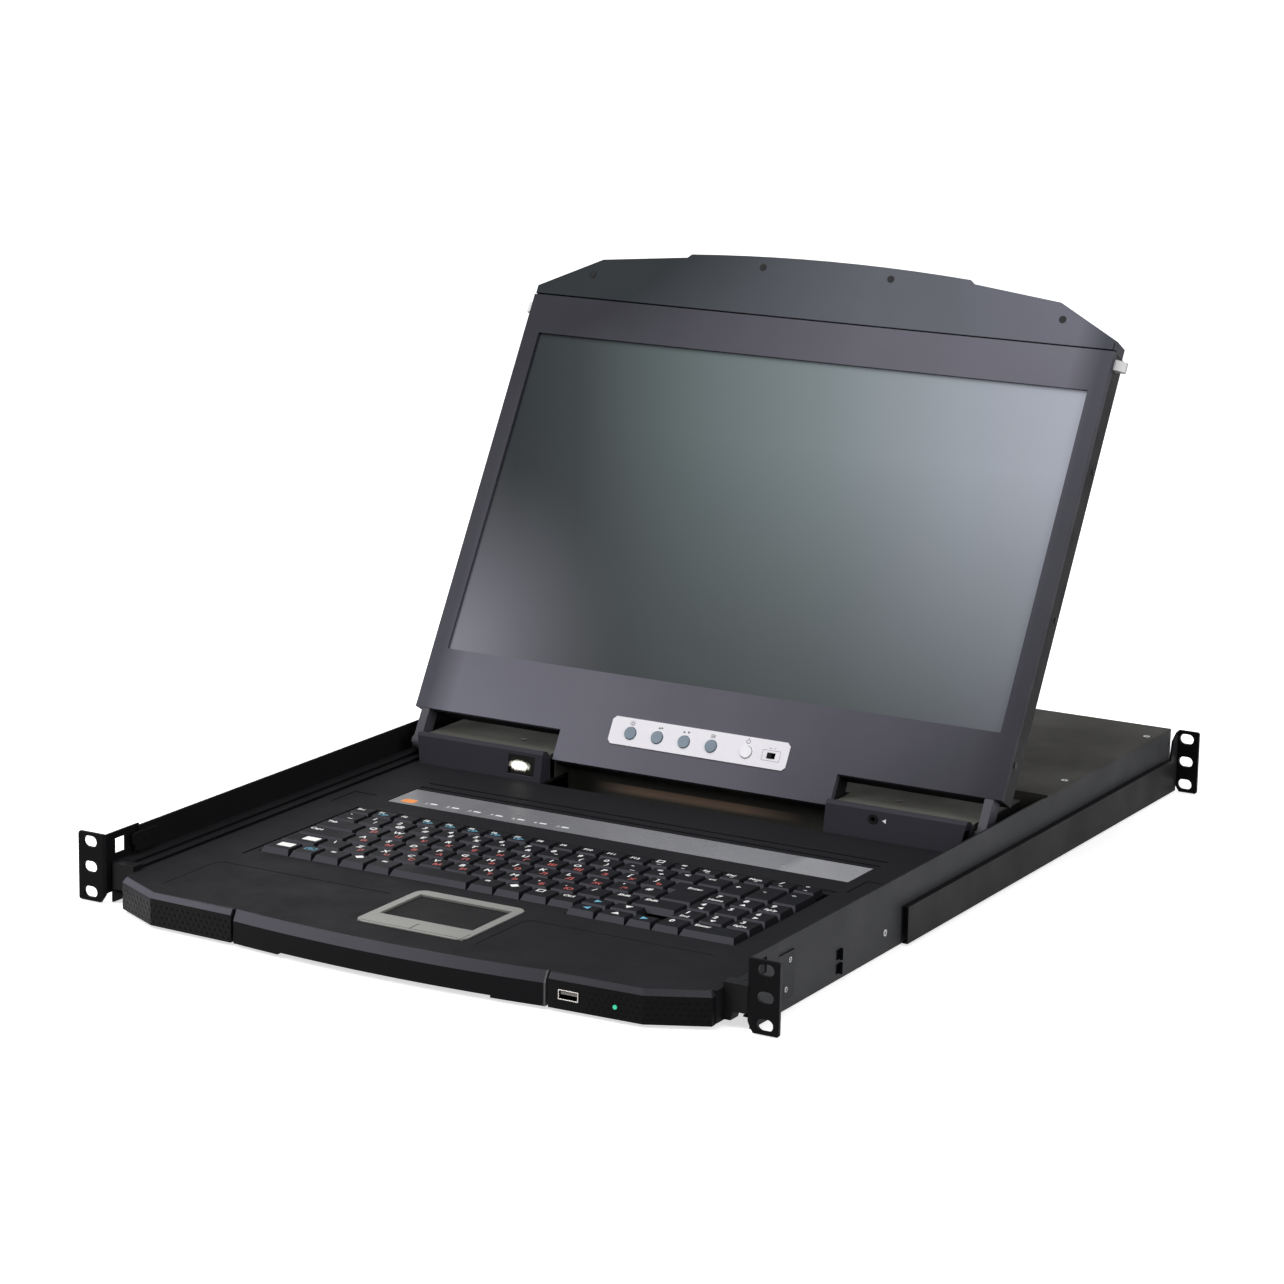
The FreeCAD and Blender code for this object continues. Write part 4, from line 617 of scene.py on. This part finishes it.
# A key's flat top lies in from its outline by these.
TOP_SIDE, TOP_FRONT, TOP_BACK = 0.0015, 0.0028, 0.0007
# Small words go on tops with less than this half depth.
WORD_DEPTH = 0.0065
# Places from the middle of a top.
LETTER_AT, SECOND_AT = (-0.0023, 0.0031), (0.0021, -0.0034)
FN_AT, ARROW_AT = (0.0002, 0.0016), (0, 0.0004)
# Places in from the left and back edges, from the right edge, or up from the front edge.
WORD_IN, WORD_DOWN = 0.0010, 0.0040
BOX_IN, BOX_UP = 0.0073, 0.0012
UNDER_SHIFT, UNDER_UP = -0.0004, 0.0030
ENTER_SHIFT, ENTER_DOWN = 0.0022, 0.0078
# The white box, and the outline round the blue word.
BOX_SIZE, FN_SIZE, FN_LINE = (0.0105, 0.0072), (0.0072, 0.0046), 0.0005


class Top:
    """A key's flat top: its centre, its half sizes and the height of the prints on it."""

    def __init__(self, key):
        low, high = key
        front, back = low.y + TOP_FRONT, high.y - TOP_BACK
        self.x, self.y, self.z = (low.x + high.x) / 2, (front + back) / 2, high.z + PRINT_LIFT
        self.half_x, self.half_y = (high.x - low.x) / 2 - TOP_SIDE, (back - front) / 2

    def at(self, x, y):
        return flat_place(self.x + x, self.y + y, self.z)


def ordered(node, low=-1.0, high=1.0):
    """The keys of one row with their middle between low and high, from left to right."""
    keys = [k for k in islands(node) if low < middle(k).x < high]
    return sorted(keys, key=lambda k: middle(k).x)


def depth(key):
    return key[1].y - key[0].y


def mark_key(inks, key, label, second="", colour="red"):
    top, white, blue = Top(key), inks["ink"], inks["blue"]
    if label == "box":
        white.bar(top.half_x - BOX_IN, BOX_UP, *BOX_SIZE, top.at(0, 0))
    elif label == "blue":
        blue.frame(0, 0, *FN_SIZE, FN_LINE, top.at(*FN_AT))
        blue.text("Fn", FN_WORD, top.at(*FN_AT))
    elif len(label) > 1:
        lettering = WORD if top.half_y > WORD_DEPTH else SMALL_WORD
        half_word = LETTER_WIDTH * len(label) * lettering[0] / 2
        x = min(WORD_IN + half_word - top.half_x, 0)
        white.text(label, lettering, top.at(x, top.half_y - WORD_DOWN))
    elif label:
        white.text(label, LETTER, top.at(*LETTER_AT))
    if second:
        inks[colour].text(second, SECOND, top.at(*SECOND_AT))


def under_text(ink, key, words):
    top = Top(key)
    ink.text(words, UNDER_WORD, top.at(UNDER_SHIFT, UNDER_UP - top.half_y))


def new_inks(row):
    names = (("legends_", "ink"), ("red_marks_", "red"), ("blue_marks_", "blue"))
    return {tone: Ink(start + row, "row_" + row, tone, "key_plastic") for start, tone in names}


def finish_inks(inks):
    for ink in inks.values():
        if len(ink.mesh.faces):
            ink.done()


def function_row():
    """The top row: a blue symbol under F1 and F3 to F7, and a dash under the last keys."""
    inks = new_inks("function")
    for i, (key, label) in enumerate(zip(ordered("keys_function"), FUNCTION)):
        mark_key(inks, key, label)
        if 3 <= i <= 7 or i == 1:
            under_text(inks["blue"], key, "\u25a1\u25b7")
        elif i > 12:
            under_text(inks["ink"], key, "--")
    finish_inks(inks)


def pad_row(row, labels, seconds, pad):
    """A row of the main keys and of the number pad, whose tall key says Enter."""
    pad_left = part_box("keys_number")[1].x - PAD_WIDTH
    inks = new_inks(row)
    tall = [k for k in ordered("keys_" + row) if depth(k) > TALL_KEY]
    main = [k for k in ordered("keys_" + row, high=pad_left) if k not in tall]
    for key, label, second in zip(main, labels, seconds):
        mark_key(inks, key, label, second, "ink" if row == "number" else "red")
    for key, label in zip(ordered("keys_" + row, low=pad_left), pad):
        mark_key(inks, key, label)
        if label in PAD_WORDS:
            under_text(inks["ink"], key, PAD_WORDS[label])
    for key in tall:
        top = Top(key)
        inks["ink"].text("Enter", ENTER_WORD, top.at(ENTER_SHIFT, top.half_y - ENTER_DOWN))
    finish_inks(inks)


def bottom_row():
    """The row of the space bar, with half-deep arrow keys; the middle two arrows are white."""
    inks = new_inks("bottom")
    keys = ordered("keys_bottom")
    for key, label in zip([k for k in keys if depth(k) > FULL_KEY], BOTTOM):
        mark_key(inks, key, label)
    arrows = sorted([k for k in keys if depth(k) <= FULL_KEY],
                    key=lambda k: (round(k[0].x, 3), k[0].y))
    for i, (key, arrow) in enumerate(zip(arrows, ARROWS)):
        inks["ink" if i in (2, 3) else "blue"].text(arrow, ARROW, Top(key).at(*ARROW_AT))
    finish_inks(inks)


function_row()
for row, legends in PAD_ROWS.items():
    pad_row(row, *legends)
bottom_row()


# ---- marks on the deck, the screen and the covers ----

def strip_marks():
    """The orange lamp mark, seven numbered port marks and three small marks."""
    low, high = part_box("status_strip")
    z = high.z + PRINT_LIFT
    lamp_mark = ((-0.0050, -0.0036), (0.0046, -0.0036), (0.0052, 0.0022),
                 (0.0040, 0.0040), (-0.0034, 0.0040), (-0.0050, 0.0018))
    orange = Ink("strip_lamp_mark", "drawer", "orange", "strip_plastic")
    orange.polygon(lamp_mark, flat_place(low.x + 0.0117, low.y + 0.0082, z))
    orange.done()
    white = Ink("strip_port_marks", "drawer", "ink", "strip_plastic")
    grey = Ink("strip_small_marks", "drawer", "grey", "strip_plastic")
    first_port, port_pitch = 0.0295, 0.0165
    for i in range(7):
        x, y = low.x + first_port + port_pitch * i, low.y + 0.0100
        white.bar(x, y, 0.0052, 0.0020, flat_place(0, 0, z))
        white.text(str(i + 1), PORT_NUMBER, flat_place(x - 0.0054, y - 0.0002, z))
        grey.bar(x - 0.0024, y - 0.0024, 0.0092, 0.0004, flat_place(0, 0, z))
    for x in (0.1201, 0.1342, 0.1475):
        grey.bar(x, low.y + 0.0092, 0.0028, 0.0010, flat_place(0, 0, z))
    white.done()
    grey.done()


def plate_marks():
    """The symbols over the buttons, the power symbol and the frame round the mode switch."""
    buttons = ["menu_button_1", "menu_button_2", "menu_button_3", "menu_button_4"]
    sun, left, right, menu = [middle(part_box(b)).x for b in buttons]
    dark = Ink("plate_symbols", "screen", "dark", "plate_white")
    here = screen_place(0, PLATE_MIDDLE, PLATE_FACE + PRINT_LIFT)
    level, ray = 0.0004, 0.0018
    dark.ring(sun, level, 0.0007, 0.0011, here, 16)
    for i in range(8):
        a = math.pi * i / 4
        dark.bar(sun + ray * math.cos(a), level + ray * math.sin(a), 0.0008, 0.0003, here, a)
    for x, shift in ((left, 0.0008), (right, -0.0008)):
        foot = x + shift
        dark.polygon([(foot + 0.0004, -0.0004), (foot - 0.0006, 0.0010),
                      (foot - 0.0016, -0.0004)], here)
        dark.polygon([(x + 0.0014, 0.0012), (x + 0.0014, -0.0006), (x + 0.0030, 0.0003)], here)
    for rise in (-0.0009, 0.0, 0.0009):
        dark.bar(menu, level + rise, 0.0034, 0.0004, here)
    power = middle(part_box("panel_power_button")).x
    dark.ring(power, 0.0006, 0.0011, 0.0015, here, 20, 125, 415)
    dark.bar(power, 0.0020, 0.0004, 0.0018, here)
    mode = middle(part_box("mode_switch")).x
    dark.frame(mode + 0.0012, -0.0064, 0.0128, 0.0070, 0.0002, here)
    dark.bar(mode - 0.0002, -0.0014, 0.0022, 0.0003, here)
    dark.bar(mode + 0.0030, -0.0014, 0.0010, 0.0003, here)
    dark.done()


def pad_line():
    """The dark joint between the two touchpad buttons."""
    low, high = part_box("touchpad_button_left")
    dark = Ink("pad_button_joint", "touch_left", "dark", "silver_plastic")
    joint = 0.0006
    dark.bar(high.x - joint / 2, (low.y + high.y) / 2, joint, high.y - low.y,
             flat_place(0, 0, high.z + PRINT_LIFT))
    dark.done()


def port_tongue():
    """The pale tongue in the upper half of the front port."""
    low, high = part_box("usb_port")
    front, back = low.y + 0.0010, high.y - 0.002
    width, height, above_middle = 0.0108, 0.0017, 0.0009
    centre = Vector(((low.x + high.x) / 2, (front + back) / 2, (low.z + high.z) / 2 + above_middle))
    mesh = bmesh.new()
    bmesh.ops.create_cube(mesh, size=1.0)
    mesh.transform(Matrix.Translation(centre) @ Matrix.Diagonal((width, back - front, height, 1)))
    tongue = shown("port_tongue", mesh, PAINTS["tongue"])
    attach(tongue, "drawer")


def jack_mark():
    """The white arrow beside the upgrade jack, on the leaning front of the rear cover."""
    white = Ink("jack_arrow", "drawer", "ink", "bezel_plastic")
    z, beside, lift = 0.0129, 0.0045, 0.00005
    y = COVER_FOOT + z * COVER_SLOPE - lift
    place = front_place(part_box("upgrade_jack")[1].x + beside, y, z, math.atan(COVER_SLOPE))
    white.polygon([(-0.0015, 0), (0.0011, -0.0014), (0.0011, 0.0014)], place)
    white.done()


def screw_crosses():
    """A dark cross on every screw head, on whichever side the head looks out: painted shade for the
    recess.
    """
    arm_length, arm_width, turned = 0.0026, 0.0006, 0.4
    screen_head = 0.0002 + PRINT_LIFT
    places = {"chassis_screws": "chassis", "drawer_screws": "drawer", "lcd_screws": "screen"}
    for node, body in places.items():
        dark = Ink(node + "_recesses", body, "socket", "screw_steel")
        for low, high in islands(node):
            size, centre = high - low, middle((low, high))
            thin = min(range(3), key=lambda i: size[i])
            if body == "screen" and thin != 0:
                place = Matrix.Translation(centre + OUT * screen_head) @ SCREEN_TURN
            elif thin == 2:
                place = flat_place(centre.x, centre.y, high.z + PRINT_LIFT)
            else:
                side = 1 if centre.x > 0 else -1
                x = high.x + PRINT_LIFT if side > 0 else low.x - PRINT_LIFT
                outward = Matrix.Rotation(math.radians(90 * side), 4, "Y")
                place = Matrix.Translation((x, centre.y, centre.z)) @ outward
            for turn in (turned, turned + math.pi / 2):
                dark.bar(0, 0, arm_length, arm_width, place, turn)
        dark.done()


strip_marks()
plate_marks()
pad_line()
port_tongue()
jack_mark()
screw_crosses()


# ---- floor, light and camera ----

def stage():
    """A wide floor: white to the camera, fading up to plain white, but grey to the light."""
    reach, z = 12, cad_box[0].z - 0.0005
    mesh = bmesh.new()
    mesh.faces.new([mesh.verts.new((x * reach, y * reach, z))
                    for x, y in ((-1, -1), (1, -1), (1, 1), (-1, 1))])
    paint = Paint("floor_white")
    pale = paint.mix(paint.noise(3.0), (0.93, 0.93, 0.93), (0.95, 0.95, 0.95))
    seen = paint.seen_directly()
    away = paint.vector("LENGTH", paint.coord)["Value"]
    paint.set("Base Color", paint.mix(seen, (0.25, 0.25, 0.25), pale))
    paint.set("Roughness", 0.9)
    paint.set("Specular IOR Level", 0.1)
    paint.set("Emission Color", pale)
    paint.set("Emission Strength", paint.product(seen, paint.ranged(away, 0.70, 1.0, 0.5, 0.95)))
    floor = shown("floor", mesh, paint)


def area(name, place, target, size, power):
    data = bpy.data.lights.new(name, "AREA")
    data.energy, data.size = power, size
    lamp = bpy.data.objects.new(name, data)
    bpy.context.scene.collection.objects.link(lamp)
    lamp.location = place
    lamp.rotation_euler = (Vector(target) - Vector(place)).to_track_quat("-Z", "Y").to_euler()


def light():
    """An even white surround, dim to the object and full to the camera, and three soft lamps."""
    world = bpy.data.worlds.new("studio")
    bpy.context.scene.world = world
    world.use_nodes = True
    sky = Graph(world.node_tree)
    back = sky.nodes["Background"]
    sky.feed(back.inputs["Color"], (1, 1, 1))
    sky.feed(back.inputs["Strength"], sky.ranged(sky.seen_directly(), 0.2, 1.0, 0.0, 1.0))
    area("over", (-0.4, -0.2, 2.2), (0, 0.25, 0), 1.6, 32)
    area("front_left", (-1.5, -1.6, 1.6), (0, 0.2, 0.1), 1.0, 25)
    area("right", (2.4, -0.3, 0.9), (0.2, 0.3, 0.0), 1.2, 18)


def camera():
    """The photo's own view."""
    data = bpy.data.cameras.new("camera")
    data.sensor_width, data.lens = 36.0, 109.48
    data.clip_start, data.clip_end = 0.05, 40.0
    eye = bpy.data.objects.new("camera", data)
    bpy.context.scene.collection.objects.link(eye)
    place = Matrix.Translation((1.18344, -1.81718, 0.67686))
    azimuth, elevation, roll = (math.radians(a) for a in (29.65, 13.11, 1.045))
    aim = Vector((-math.sin(azimuth) * math.cos(elevation),
                  math.cos(azimuth) * math.cos(elevation), -math.sin(elevation)))
    turn = aim.to_track_quat("-Z", "Y").to_matrix().to_4x4()
    eye.matrix_world = place @ turn @ Matrix.Rotation(roll, 4, "Z")
    bpy.context.scene.camera = eye


stage()
light()
camera()
bpy.context.scene.view_settings.view_transform = "Standard"
